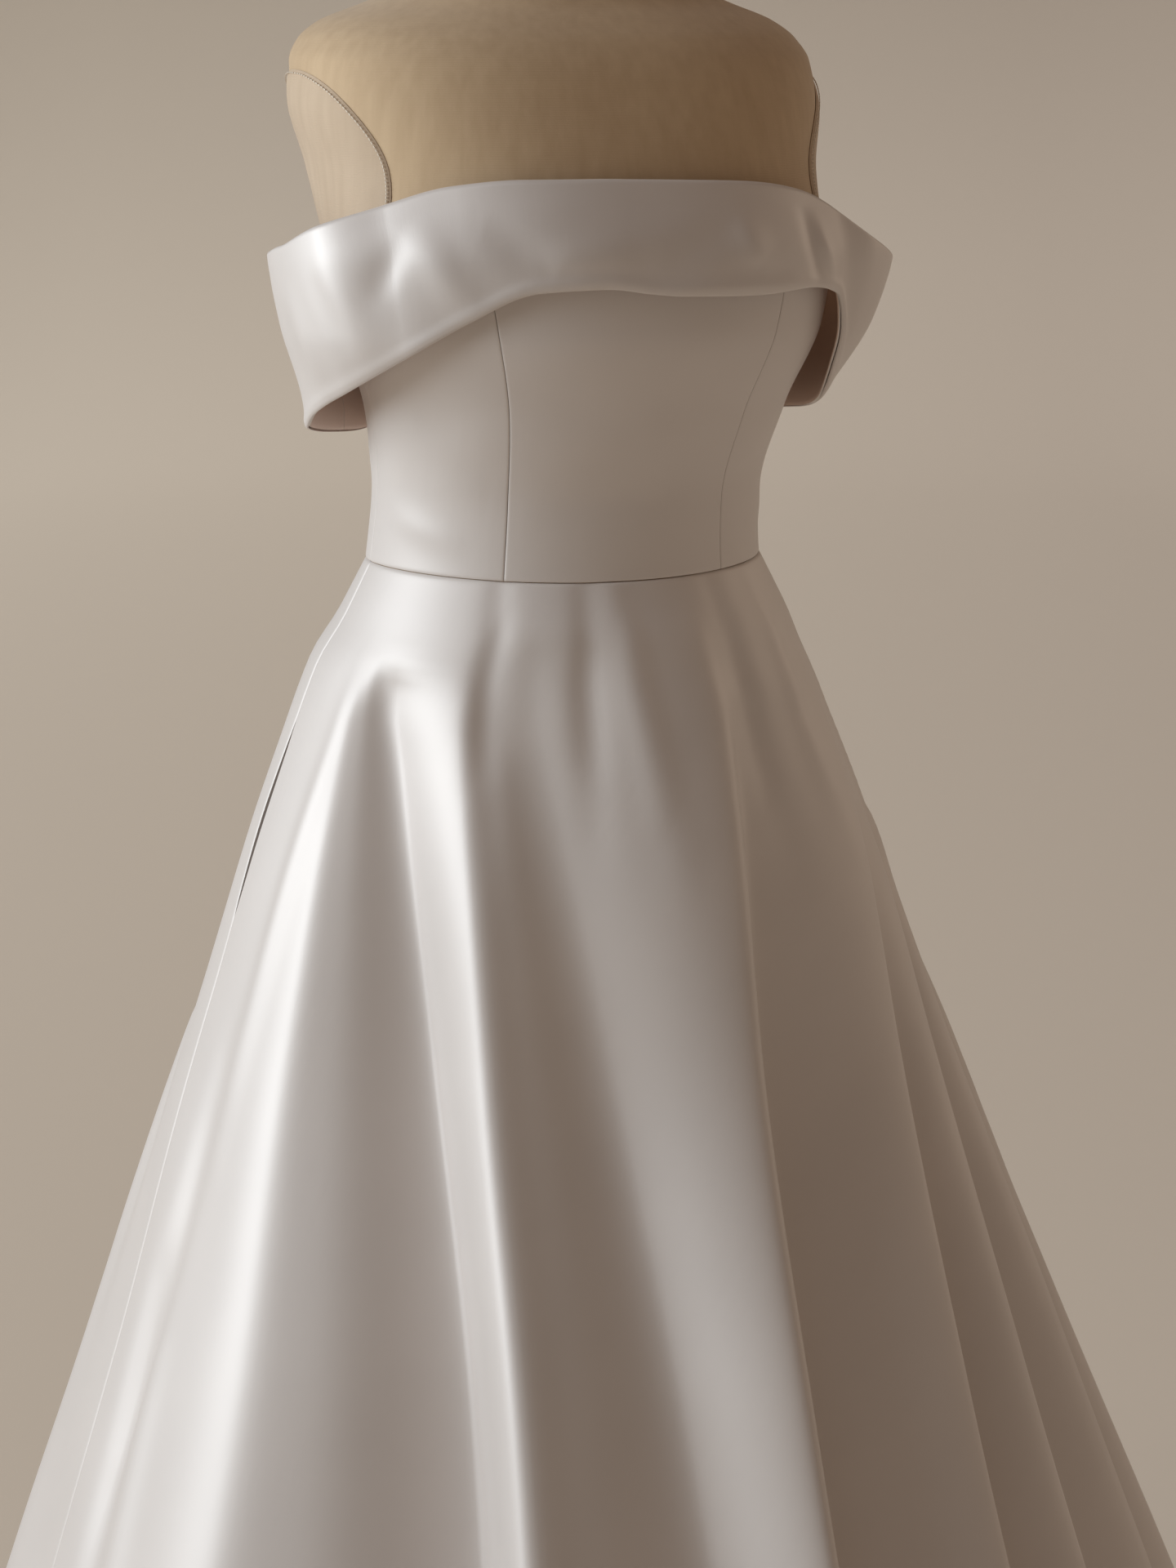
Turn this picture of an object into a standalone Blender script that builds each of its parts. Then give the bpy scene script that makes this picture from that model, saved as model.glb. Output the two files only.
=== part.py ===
"""Wedding dress on a dress form.

Metres, +Z up, the floor at Z = 0. The wearer faces -Y, and the wearer's left is +X.
The origin is the centre of the underside of the form's round base.
An angle around the body is 0 at centre front, +90 degrees at the wearer's left side.
"""
import math

import bmesh
import bpy
import numpy as np
from mathutils import Matrix, Vector

# ---------------------------------------------------------------- sizes, metres
WAIST_HEIGHT = 1.060        # waist seam above the floor
WAIST_DIP = 0.005           # how much lower the seam runs at centre front
HEM_HEIGHT = 0.010
CLOTH = 0.0015              # wall of one ply of duchess satin with its backing
BAND_PLY = 0.0012           # wall of one ply of the folded band
SEAM = 0.0003               # gap between two pieces that are sewn together
REST_GAP = 0.0007           # gap between the bodice and the form that it rests on
BAND_FOLD = 0.0054          # depth of the folded band, outer face to inner face
BAND_HEM_STEP = 0.003       # how much shorter the band's inner ply is
BODICE_TOP_DROP = 0.010     # the bodice's top edge below the band's fold

# The figure that the dress is cut for: a superellipse for each height.
# height, half width, y of the widest line, front depth, back depth, squareness
FIGURE = (
    (0.800, 0.138, 0.006, 0.098, 0.112, 2.10),
    (0.830, 0.146, 0.005, 0.104, 0.120, 2.10),
    (0.900, 0.150, 0.004, 0.107, 0.123, 2.10),
    (0.970, 0.143, 0.000, 0.105, 0.113, 2.10),
    (1.020, 0.127, -0.002, 0.099, 0.098, 2.08),
    (1.060, 0.1180, -0.003, 0.0945, 0.0905, 2.06),
    (1.100, 0.1155, -0.010, 0.0970, 0.0880, 2.08),
    (1.150, 0.1230, -0.026, 0.115, 0.092, 2.15),
    (1.200, 0.1400, -0.036, 0.133, 0.099, 2.30),
    (1.240, 0.1470, -0.028, 0.134, 0.103, 2.40),
    (1.290, 0.1490, 0.000, 0.118, 0.108, 2.40),
    (1.330, 0.1565, 0.012, 0.101, 0.111, 2.40),
    (1.350, 0.1560, 0.020, 0.091, 0.110, 2.38),
    (1.363, 0.1500, 0.025, 0.081, 0.107, 2.32),
    (1.373, 0.1380, 0.026, 0.069, 0.101, 2.22),
    (1.384, 0.1100, 0.024, 0.055, 0.091, 2.10),
    (1.398, 0.0770, 0.019, 0.044, 0.078, 2.05),
    (1.415, 0.0620, 0.015, 0.040, 0.069, 2.00),
    (1.440, 0.0570, 0.011, 0.042, 0.064, 2.00),
    (1.470, 0.0550, 0.008, 0.045, 0.061, 2.00),
)

# How far the form's own skin lies inside that shape, by height. It carries the bodice
# at the waist, and the bust and ribs of the bodice stand a little off it.
EASE = (
    (0.800, 0.0030),
    (1.020, 0.0012),
    (1.056, 0.0000),
    (1.064, 0.0000),
    (1.100, 0.0020),
    (1.150, 0.0036),
    (1.270, 0.0036),
    (1.300, 0.0020),
    (1.340, 0.0000),
)

# How far the skirt stands out from the waist: drop below the waist, then at the
# sides, the front and the back, and how far the whole ring has moved across and ahead.
SKIRT = (
    (0.000, 0.000, 0.000, 0.000, 0.000, 0.000),
    (0.030, 0.015, 0.016, 0.016, 0.000, 0.001),
    (0.060, 0.030, 0.032, 0.031, -0.002, 0.0045),
    (0.110, 0.049, 0.053, 0.053, -0.002, 0.0045),
    (0.160, 0.067, 0.073, 0.074, -0.002, 0.005),
    (0.260, 0.099, 0.107, 0.109, -0.0015, 0.005),
    (0.460, 0.166, 0.178, 0.182, 0.0015, -0.010),
    (0.660, 0.236, 0.250, 0.256, 0.005, -0.022),
    (1.050, 0.376, 0.394, 0.402, 0.010, -0.034),
)

# The skirt's folds, ridges out and valleys in. Each runs down a line of the skirt that
# swings from one angle at the waist to another at the hem. Angles are in degrees.
# waist angle, hem angle, start drop, depth at hem, half widths at hem on its two sides,
# lean of the crest (+ is towards the wearer's left)
FOLDS = (
    (-70.0, -61.0, 0.060, 0.020, 12.0, 6.5, 0.0),
    (-59.0, -31.0, 0.052, -0.100, 15.0, 4.0, 0.0),
    (-40.0, -25.0, 0.050, 0.018, 3.0, 4.0, -0.2),
    (-22.0, -5.0, 0.030, -0.048, 12.0, 3.4, 0.0),
    (14.0, 0.8, 0.020, 0.034, 3.6, 3.0, 0.7),
    (25.0, 6.2, 0.070, -0.038, 3.2, 9.0, 0.0),
    (62.0, 21.5, 0.090, 0.026, 7.0, 2.8, 0.7),
    (70.0, 28.0, 0.150, -0.022, 3.0, 3.0, 0.0),
    (80.0, 35.0, 0.150, 0.026, 4.5, 3.5, 0.5),
    (83.0, 43.0, 0.180, -0.028, 4.5, 5.0, 0.0),
    (85.0, 52.0, 0.160, 0.032, 5.5, 5.0, 0.4),
    (87.0, 62.0, 0.220, -0.032, 5.5, 6.0, 0.0),
    (89.5, 73.0, 0.160, 0.034, 6.5, 6.0, -0.3),
    (92.0, 83.0, 0.220, -0.030, 5.5, 6.0, 0.0),
    (110.0, 108.0, 0.150, 0.038, 8.0, 8.0, 0.4),
    (126.0, 124.0, 0.240, -0.036, 7.5, 7.5, 0.0),
    (141.0, 141.0, 0.130, 0.040, 7.5, 7.5, 0.5),
    (158.0, 157.0, 0.200, -0.034, 7.0, 7.0, 0.0),
    (174.0, 174.0, 0.260, 0.034, 7.5, 7.5, 0.0),
    (-166.0, -166.0, 0.180, -0.034, 7.0, 7.0, 0.0),
    (-149.0, -149.0, 0.120, 0.040, 7.5, 7.5, -0.5),
    (-131.0, -132.0, 0.230, -0.034, 8.0, 8.0, 0.0),
    (-113.0, -114.0, 0.280, 0.022, 8.5, 8.5, 0.0),
)
SWING_START = 0.080         # drop below the waist where the skirt's lines start to swing

# The fold-over band: angle, height of its fold, height of its lower edge, and how
# far its outer face stands off the form's skin at the fold and at the lower edge.
BAND = (
    (-180.0, 1.268, 1.190, 0.0082, 0.0110),
    (-165.0, 1.267, 1.180, 0.0082, 0.0110),
    (-150.0, 1.262, 1.152, 0.0082, 0.0110),
    (-140.0, 1.257, 1.135, 0.0110, 0.0130),
    (-128.0, 1.250, 1.131, 0.0165, 0.0190),
    (-116.0, 1.244, 1.133, 0.0250, 0.0290),
    (-104.0, 1.242, 1.139, 0.0335, 0.0385),
    (-92.0, 1.247, 1.151, 0.0355, 0.0385),
    (-76.0, 1.260, 1.166, 0.0330, 0.0350),
    (-58.0, 1.2735, 1.188, 0.0130, 0.0220),
    (-40.0, 1.2835, 1.209, 0.0082, 0.0120),
    (-22.0, 1.287, 1.225, 0.0082, 0.0110),
    (-8.0, 1.287, 1.2265, 0.0082, 0.0110),
    (4.0, 1.286, 1.2215, 0.0082, 0.0110),
    (22.0, 1.284, 1.2205, 0.0082, 0.0110),
    (40.0, 1.278, 1.223, 0.0082, 0.0120),
    (53.0, 1.268, 1.218, 0.0120, 0.0150),
    (66.0, 1.248, 1.174, 0.0300, 0.0205),
    (80.0, 1.237, 1.150, 0.0420, 0.0260),
    (95.0, 1.236, 1.142, 0.0420, 0.0280),
    (112.0, 1.243, 1.139, 0.0310, 0.0240),
    (130.0, 1.252, 1.141, 0.0150, 0.0180),
    (150.0, 1.262, 1.158, 0.0082, 0.0110),
    (165.0, 1.267, 1.180, 0.0082, 0.0110),
    (180.0, 1.268, 1.190, 0.0082, 0.0110),
)
BAND_SEAMS = (-57.0, 57.0, 122.0)       # front to sleeve on each side, sleeve to back

PRINCESS_ANGLE = 34.0       # front princess seams
SIDE_ANGLE = 94.0           # side seams of bodice and skirt
BACK_SEAM_ANGLE = 143.0     # seams of the two centre back panels

# In-seam pockets: a slit in each side seam, and a bag inside it that runs forward.
POCKET_TOP = 0.965
POCKET_BOTTOM = 0.850
POCKET_OPEN = {"right": 0.0060, "left": 0.0045}
BAG_FALLS = (0.238, 0.200, 0.165, 0.155, 0.110, 0.086)      # rows, shares of the skirt's fall
BAG_COLUMNS = 7             # columns of the skirt's grid that a bag runs forward
BAG_SETBACK = 0.4           # columns from the seam to the bag's mouth
BAG_COLUMN_WIDTH = 0.013    # rough width of a column beside the bag
BAG_FULLNESS = 0.0140       # widest gap between a bag's two plies
BAG_PLY = 0.0010
BAG_CLEAR = 0.00105         # gap between the skirt's inner face and the bag

# Zip at centre back
ZIP_HALF_WIDTH = 0.0022
ZIP_CLEAR = 0.0005          # gap beside the chain
ZIP_TOP = 1.263
ZIP_BOTTOM = 0.898          # between two of the skirt's rows, the lower one sewn shut
BAND_BACK_GAP = 0.0070      # from centre back to the end of the band on each side
SLIDER = (0.0056, 0.0022, 0.0100)
SLIDER_HEIGHT = 1.252
PIN_STAND = 0.0018          # slider's outer face to the middle of its pin
PIN_RADIUS = 0.0005
CHEEK_WIDTH = 0.0008
PULL_EYE = (0.0013, 0.0008, 0.0022)     # outer radius, hole radius, length along the pin
PULL_LENGTH = 0.021
PULL_WIDTH = 0.0050
PULL_THICKNESS = 0.0009

# Dress form
POLE_RADIUS = 0.0140
BASE_RADIUS = 0.185
BASE_HEIGHT = 0.022
CAP_HEIGHT = 0.012
PLATE_THICKNESS = 0.0035
PLATE_GAP = 0.0011
PLATE_MIDDLE = (92.0, 1.292)            # angle and height of an arm plate's centre
PLATE_REACH = (33.0, 0.055)             # its reach each way, degrees and metres

# ---------------------------------------------------------------- grids
BODY_STEP = 7.0             # degrees between columns of bodice and band
SKIRT_STEP = 3.9
BODICE_ROWS = 5
SKIRT_DROPS = (0.0, 0.028, 0.060, 0.110, 0.155, 0.165, 0.240, 0.340, 0.470, 0.620, 0.800, 1.0)
FORM_COLUMNS = 40


def reset_scene():
    for found in list(bpy.data.objects):
        bpy.data.objects.remove(found, do_unlink=True)


def material(name, colour, roughness, metallic=0.0):
    made = bpy.data.materials.new(name)
    made.use_nodes = True
    shader = made.node_tree.nodes["Principled BSDF"]
    shader.inputs["Base Color"].default_value = (*colour, 1.0)
    shader.inputs["Roughness"].default_value = roughness
    shader.inputs["Metallic"].default_value = metallic
    return made


# ---------------------------------------------------------------- curves through tables
def smooth_row(table, at):
    """The row of a table at a value of its first column, on smooth curves."""
    rows = np.array(table, dtype=float)
    keys = rows[:, 0]
    values = rows[:, 1:]
    at = min(max(at, keys[0]), keys[-1])
    upper = min(max(int(np.searchsorted(keys, at)), 1), len(keys) - 1)
    lower = upper - 1
    slopes = np.diff(values, axis=0) / np.diff(keys)[:, None]

    def slope_at(index):
        if index == 0:
            return slopes[0]
        if index == len(keys) - 1:
            return slopes[-1]
        before, after = slopes[index - 1], slopes[index]
        mean = 2.0 * before * after / np.where(before + after == 0.0, 1.0, before + after)
        return np.where(before * after > 0.0, mean, 0.0)

    span = keys[upper] - keys[lower]
    part = (at - keys[lower]) / span
    return ((2 * part**3 - 3 * part**2 + 1) * values[lower]
            + (part**3 - 2 * part**2 + part) * span * slope_at(lower)
            + (3 * part**2 - 2 * part**3) * values[upper]
            + (part**3 - part**2) * span * slope_at(upper))


def ring_point(row, degrees):
    """A point on one superellipse: x and y at an angle around the body."""
    half_width, middle, front, back, squareness = row
    side = math.sin(math.radians(degrees))
    ahead = math.cos(math.radians(degrees))
    power = 2.0 / squareness
    depth = front + middle if ahead > 0.0 else back - middle
    x = half_width * math.copysign(abs(side) ** power, side)
    y = middle - depth * math.copysign(abs(ahead) ** power, ahead)
    return np.array((x, y))


def outward(curve, degrees):
    """Unit normal, in plan, of a closed curve given as a function of the angle."""
    ahead = curve(degrees + 0.5) - curve(degrees - 0.5)
    normal = np.array((ahead[1], -ahead[0]))
    return normal / np.linalg.norm(normal)


def figure_point(degrees, height, out=0.0):
    """A point on the form's skin, moved straight out in plan."""
    row = smooth_row(FIGURE, height)
    plan = ring_point(row, degrees)
    plan = plan + out * outward(lambda angle: ring_point(row, angle), degrees)
    return np.array((plan[0], plan[1], height))


def form_point(degrees, height, out=0.0):
    """A point on the form's own skin, moved straight out in plan."""
    return figure_point(degrees, height, out - float(smooth_row(EASE, height)[0]))


def waist_height(degrees):
    return WAIST_HEIGHT - WAIST_DIP * max(0.0, math.cos(math.radians(degrees))) ** 2


def wrapped(degrees):
    return (degrees + 180.0) % 360.0 - 180.0


def swing_table():
    """Hem angle and waist angle of the skirt's lines: its folds and its seams."""
    lines = [(hem, waist) for waist, hem, *_ in FOLDS]
    lines += [(seam, seam) for seam in (-180.0, -SIDE_ANGLE, SIDE_ANGLE, 180.0)]
    return sorted(lines)


SWING = swing_table()


def line_angle(line, fall):
    """Angle, at a share of the fall, of the skirt's line that meets the hem at an angle."""
    start = SWING_START / (WAIST_HEIGHT - HEM_HEIGHT)
    run = max(0.0, fall - start) / (1.0 - start)
    return line + (float(smooth_row(SWING, line)[0]) - line) * (1.0 - run) ** 4


def skirt_lines(first, last):
    """Lines for the columns of a panel, evenly spaced between waist and hem."""
    lines = np.linspace(-180.0, 180.0, 721)
    middles = [(line + float(smooth_row(SWING, line)[0])) / 2.0 for line in lines]
    return np.interp(spread(first, last, SKIRT_STEP), middles, lines)


def fold_shift(line, fall):
    """How far the folds push the skirt out, and how far round, on a line of the skirt."""
    out = 0.0
    around = 0.0
    drop = fall * (WAIST_HEIGHT - HEM_HEIGHT)
    for _, hem_angle, start, depth, before, after, lean in FOLDS:
        if drop <= start:
            continue
        run = (drop - start) / (WAIST_HEIGHT - HEM_HEIGHT - start)
        away = wrapped(line - hem_angle)
        width = before if away < 0.0 else after
        reach = depth * run ** 0.6 * math.exp(-(away / width) ** 2)
        out += reach
        around += lean * reach
    return out, around


def skirt_point(line, fall, out=0.0):
    """A point on the skirt's outer face, at a share of the way from waist to hem."""
    waist = smooth_row(FIGURE, WAIST_HEIGHT)
    side, front, back, across, ahead = smooth_row(SKIRT, fall * (WAIST_HEIGHT - HEM_HEIGHT))
    row = (waist[0] + side, waist[1], waist[2] + front, waist[3] + back,
           2.0 + (waist[4] - 2.0) * max(0.0, 1.0 - 4.0 * fall))

    def folded(at):
        angle = line_angle(at, fall)
        normal = outward(lambda near: ring_point(row, near), angle)
        push, around = fold_shift(at, fall)
        push += REST_GAP + CLOTH
        along = np.array((-normal[1], normal[0]))
        return ring_point(row, angle) + push * normal + around * along

    plan = folded(line) + out * outward(folded, line)
    top = waist_height(line_angle(line, 0.0))
    height = top - fall * (top - HEM_HEIGHT)
    return np.array((plan[0] + across, plan[1] + ahead, height))


def band_row(degrees):
    return smooth_row(BAND, wrapped(degrees))


def band_path(degrees):
    """The band's outside, from the outer ply's edge over the fold to the inner ply's edge."""
    top, bottom, top_clear, bottom_clear = band_row(degrees)
    radius = BAND_FOLD / 2.0
    shoulder = top - radius

    def clear(height):
        share = (height - bottom) / (shoulder - bottom)
        return bottom_clear + (top_clear - bottom_clear) * share

    path = [(height, clear(height)) for height in np.linspace(bottom, shoulder, 3)]
    for turn in (60.0, 120.0):
        rise = radius * math.sin(math.radians(turn))
        back = radius * (1.0 - math.cos(math.radians(turn)))
        path.append((shoulder + rise, top_clear - back))
    for height in np.linspace(shoulder, bottom + BAND_HEM_STEP, 3):
        path.append((height, clear(height) - BAND_FOLD))
    return [figure_point(degrees, height, out) for height, out in path]


# ---------------------------------------------------------------- meshes
def add_object(name, mesh, made_of):
    mesh.materials.append(made_of)
    mesh.shade_smooth()
    mesh.set_sharp_from_angle(angle=math.radians(40.0))
    shape = bpy.data.objects.new(name, mesh)
    bpy.context.scene.collection.objects.link(shape)
    return shape


def closed_mesh(name, vertices, faces):
    mesh = bpy.data.meshes.new(name)
    mesh.from_pydata([tuple(point) for point in vertices], [], faces)
    shape = bmesh.new()
    shape.from_mesh(mesh)
    bmesh.ops.recalc_face_normals(shape, faces=shape.faces)
    shape.to_mesh(mesh)
    shape.free()
    return mesh


def wall_mesh(name, outer, inner):
    """One closed wall between two grids of points, rows by columns."""
    rows, columns = len(outer), len(outer[0])
    vertices = [point for grid in (outer, inner) for row in grid for point in row]

    def corner(layer, row, column):
        return (layer * rows + row) * columns + column

    faces = []
    for row in range(rows - 1):
        for column in range(columns - 1):
            for layer in (0, 1):
                faces.append((corner(layer, row, column), corner(layer, row, column + 1),
                              corner(layer, row + 1, column + 1), corner(layer, row + 1, column)))
    for row in (0, rows - 1):
        for column in range(columns - 1):
            faces.append((corner(0, row, column), corner(0, row, column + 1),
                          corner(1, row, column + 1), corner(1, row, column)))
    for column in (0, columns - 1):
        for row in range(rows - 1):
            # The same diagonal in both pieces of a seam keeps its gap even.
            faces.append((corner(0, row, column), corner(0, row + 1, column),
                          corner(1, row + 1, column)))
            faces.append((corner(0, row, column), corner(1, row + 1, column),
                          corner(1, row, column)))
    return closed_mesh(name, vertices, faces)


def thickened(grid, thickness):
    """The same grid moved across its own surface, by the wall's thickness."""
    points = np.array(grid)
    along_rows = np.gradient(points, axis=0)
    along_columns = np.gradient(points, axis=1)
    normals = np.cross(along_rows, along_columns)
    normals /= np.linalg.norm(normals, axis=2)[:, :, None]
    return points + thickness * normals


def spread(first, last, step):
    """Evenly spaced angles from first to last, about one step apart."""
    count = max(2, int(round(abs(last - first) / step)) + 1)
    return np.linspace(first, last, count)


def trimmed(point_at, angles, first_gap, last_gap):
    """Points along a strip, with its two ends drawn in by half a seam gap each."""
    points = [point_at(angle) for angle in angles]
    for end, beside, gap in ((0, 1, first_gap), (-1, -2, last_gap)):
        inward = points[beside] - points[end]
        points[end] = points[end] + inward * gap / np.linalg.norm(inward)
    return points


# ---------------------------------------------------------------- bodice
def bodice_panel(name, first, last, made_of):
    """A bodice panel between two seam angles, from the waist seam to under the band."""
    def gap_beside(angle):
        return ZIP_HALF_WIDTH + ZIP_CLEAR if abs(angle) == 180.0 else SEAM / 2.0

    grids = []
    for depth in (REST_GAP + CLOTH, REST_GAP):
        grid = []
        for share in np.linspace(0.0, 1.0, BODICE_ROWS + 1):
            def point_at(angle, share=share, depth=depth):
                low = waist_height(angle) + SEAM / 2.0
                high = band_row(angle)[0] - BODICE_TOP_DROP
                return figure_point(angle, low + (high - low) * share, depth)

            grid.append(trimmed(point_at, spread(first, last, BODY_STEP),
                                gap_beside(first), gap_beside(last)))
        grids.append(grid)
    return add_object(name, wall_mesh(name, *grids), made_of)


def make_bodice(satin):
    bodice_panel("bodice_front_centre", -PRINCESS_ANGLE, PRINCESS_ANGLE, satin)
    for side, sign in (("left", 1.0), ("right", -1.0)):
        edges = [sign * angle for angle in (PRINCESS_ANGLE, SIDE_ANGLE, BACK_SEAM_ANGLE, 180.0)]
        bodice_panel(f"bodice_side_front_{side}", edges[0], edges[1], satin)
        bodice_panel(f"bodice_side_back_{side}", edges[1], edges[2], satin)
        bodice_panel(f"bodice_back_{side}", edges[2], edges[3], satin)


# ---------------------------------------------------------------- band
def drawn_in(grid, first_gap, last_gap):
    """The same grid with its end columns moved in, level, by half a seam's gap."""
    for end, beside, gap in ((0, 1, first_gap), (-1, -2, last_gap)):
        inward = grid[:, beside] - grid[:, end]
        inward[:, 2] = 0.0
        grid[:, end] += inward * gap / np.linalg.norm(inward, axis=1)[:, None]
    return grid


def band_piece(name, first, last, first_gap, last_gap, made_of):
    """A piece of the band; one more column past each end gives its seams true normals."""
    angles = spread(first, last, BODY_STEP)
    step = angles[1] - angles[0]
    angles = [first - step, *angles, last + step]
    outside = np.array([band_path(angle) for angle in angles]).transpose(1, 0, 2)
    inside = thickened(outside, math.copysign(BAND_PLY, step))
    grids = [drawn_in(grid[:, 1:-1].copy(), first_gap, last_gap) for grid in (outside, inside)]
    return add_object(name, wall_mesh(name, *grids), made_of)


def make_band(satin):
    right_seam, left_seam, back_seam = BAND_SEAMS
    half = SEAM / 2.0
    band_piece("band_front", right_seam, left_seam, half, half, satin)
    for side, sign in (("left", 1.0), ("right", -1.0)):
        band_piece(f"band_sleeve_{side}", sign * left_seam, sign * back_seam, half, half, satin)
        band_piece(f"band_back_{side}", sign * back_seam, sign * 180.0, half, BAND_BACK_GAP,
                   satin)


# ---------------------------------------------------------------- skirt
def slit_gap(side, height):
    """Half the gap at a side seam: a seam's own, or more along the pocket's slit."""
    if not POCKET_BOTTOM < height < POCKET_TOP:
        return SEAM / 2.0
    share = (height - POCKET_BOTTOM) / (POCKET_TOP - POCKET_BOTTOM)
    return SEAM / 2.0 + POCKET_OPEN[side] / 2.0 * math.sin(math.pi * share) ** 0.6


def zip_gap(height):
    return ZIP_HALF_WIDTH + ZIP_CLEAR if height > ZIP_BOTTOM - 0.005 else SEAM / 2.0


def skirt_panel(name, first, last, first_gap, last_gap, made_of):
    """A skirt panel; first_gap and last_gap give half a seam's gap at a height."""
    falls = list(SKIRT_DROPS)
    grids = []
    for depth in (0.0, -CLOTH):
        grid = []
        for fall in falls:
            height = WAIST_HEIGHT - fall * (WAIST_HEIGHT - HEM_HEIGHT)

            def point_at(angle, fall=fall, depth=depth):
                point = skirt_point(angle, fall, depth)
                if fall == 0.0:
                    point[2] -= SEAM / 2.0
                return point

            grid.append(trimmed(point_at, skirt_lines(first, last),
                                first_gap(height), last_gap(height)))
        grids.append(grid)
    return add_object(name, wall_mesh(name, *grids), made_of)


def make_skirt(satin):
    skirt_panel("skirt_front", -SIDE_ANGLE, SIDE_ANGLE,
                lambda height: slit_gap("right", height),
                lambda height: slit_gap("left", height), satin)
    for side, sign in (("left", 1.0), ("right", -1.0)):
        skirt_panel(f"skirt_back_{side}", sign * SIDE_ANGLE, sign * 180.0,
                    lambda height, side=side: slit_gap(side, height), zip_gap, satin)


def skirt_facet_point(column, fall, out):
    """A point on the flat facets of skirt_front, moved out; columns count from its right."""
    lines = skirt_lines(-SIDE_ANGLE, SIDE_ANGLE)
    near = min(math.floor(column), len(lines) - 2)
    upper = max(index for index, drop in enumerate(SKIRT_DROPS) if drop <= fall)
    part = (fall - SKIRT_DROPS[upper]) / (SKIRT_DROPS[upper + 1] - SKIRT_DROPS[upper])
    point = np.zeros(3)
    for row, row_share in ((upper, 1.0 - part), (upper + 1, part)):
        for index, share in ((near, near + 1 - column), (near + 1, column - near)):
            point += row_share * share * skirt_point(lines[index], SKIRT_DROPS[row], out)
    return point


def make_pocket_bag(side, made_of):
    """Two plies inside the skirt, folded at their front end and open at the slit."""
    near = -(CLOTH + BAG_CLEAR)
    columns = [BAG_SETBACK, *range(1, BAG_COLUMNS + 1)]
    sign = -1.0
    if side == "left":
        last = len(skirt_lines(-SIDE_ANGLE, SIDE_ANGLE)) - 1
        columns = [last - column for column in columns]
        sign = 1.0
    grid = []
    for row, fall in enumerate(BAG_FALLS):
        share = row / (len(BAG_FALLS) - 1)
        belly = math.sin(math.pi * share) ** 0.7 * (1.15 - share)
        full = 2.0 * BAG_PLY + SEAM + BAG_FULLNESS * belly
        path = [skirt_facet_point(column, fall, near) for column in columns]
        for turn in (45.0, 90.0, 135.0):
            across = near - full / 2.0 * (1.0 - math.cos(math.radians(turn)))
            along = full / 2.0 * math.sin(math.radians(turn)) / BAG_COLUMN_WIDTH
            path.append(skirt_facet_point(columns[-1] - sign * along, fall, across))
        path += [skirt_facet_point(column, fall, near - full) for column in columns[::-1]]
        grid.append(path)
    name = f"pocket_bag_{side}"
    wall = thickened(grid, -sign * BAG_PLY)
    return add_object(name, wall_mesh(name, grid, wall), made_of)


# ---------------------------------------------------------------- zip
def back_point(height, out):
    """A point at centre back on the cloth's outer face, moved out."""
    if height >= WAIST_HEIGHT:
        return figure_point(180.0, height, REST_GAP + CLOTH + out)
    fall = (WAIST_HEIGHT - height) / (WAIST_HEIGHT - HEM_HEIGHT)
    return skirt_point(180.0, fall, out)


def make_zip_chain(made_of):
    heights = np.linspace(ZIP_BOTTOM, ZIP_TOP, 15)
    grids = []
    for out in (0.0, -CLOTH):
        centre = [back_point(height, out) for height in heights]
        grids.append([[point + np.array((x, 0.0, 0.0)) for x in (ZIP_HALF_WIDTH, -ZIP_HALF_WIDTH)]
                      for point in centre])
    return add_object("zip_chain", wall_mesh("zip_chain", *grids), made_of)


def bevelled_box(shape, centre, size, bevel):
    made = bmesh.ops.create_cube(shape, size=1.0)["verts"]
    bmesh.ops.scale(shape, vec=size, verts=made)
    bmesh.ops.translate(shape, vec=centre, verts=made)
    edges = list({edge for vertex in made for edge in vertex.link_edges})
    if bevel:
        bmesh.ops.bevel(shape, geom=edges, offset=bevel, segments=1, affect="EDGES")


def simple_object(name, fill, made_of):
    mesh = bpy.data.meshes.new(name)
    shape = bmesh.new()
    fill(shape)
    shape.to_mesh(mesh)
    shape.free()
    return add_object(name, mesh, made_of)


def unite(base, others):
    """Joins pieces that run into each other to one body."""
    for other in others:
        join = base.modifiers.new("join " + other.name, "BOOLEAN")
        join.operation = "UNION"
        join.object = other
        other.hide_render = True
        other.display_type = "WIRE"


def pin_centre():
    """Middle of the slider's pin, on the axis that the pull swings on."""
    reach = SLIDER[2] / 2.0 + 0.001
    seat = max(back_point(SLIDER_HEIGHT + end, SEAM)[1] for end in (-reach, 0.0, reach))
    return Vector((0.0, seat + SLIDER[1] + PIN_STAND, SLIDER_HEIGHT))


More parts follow.
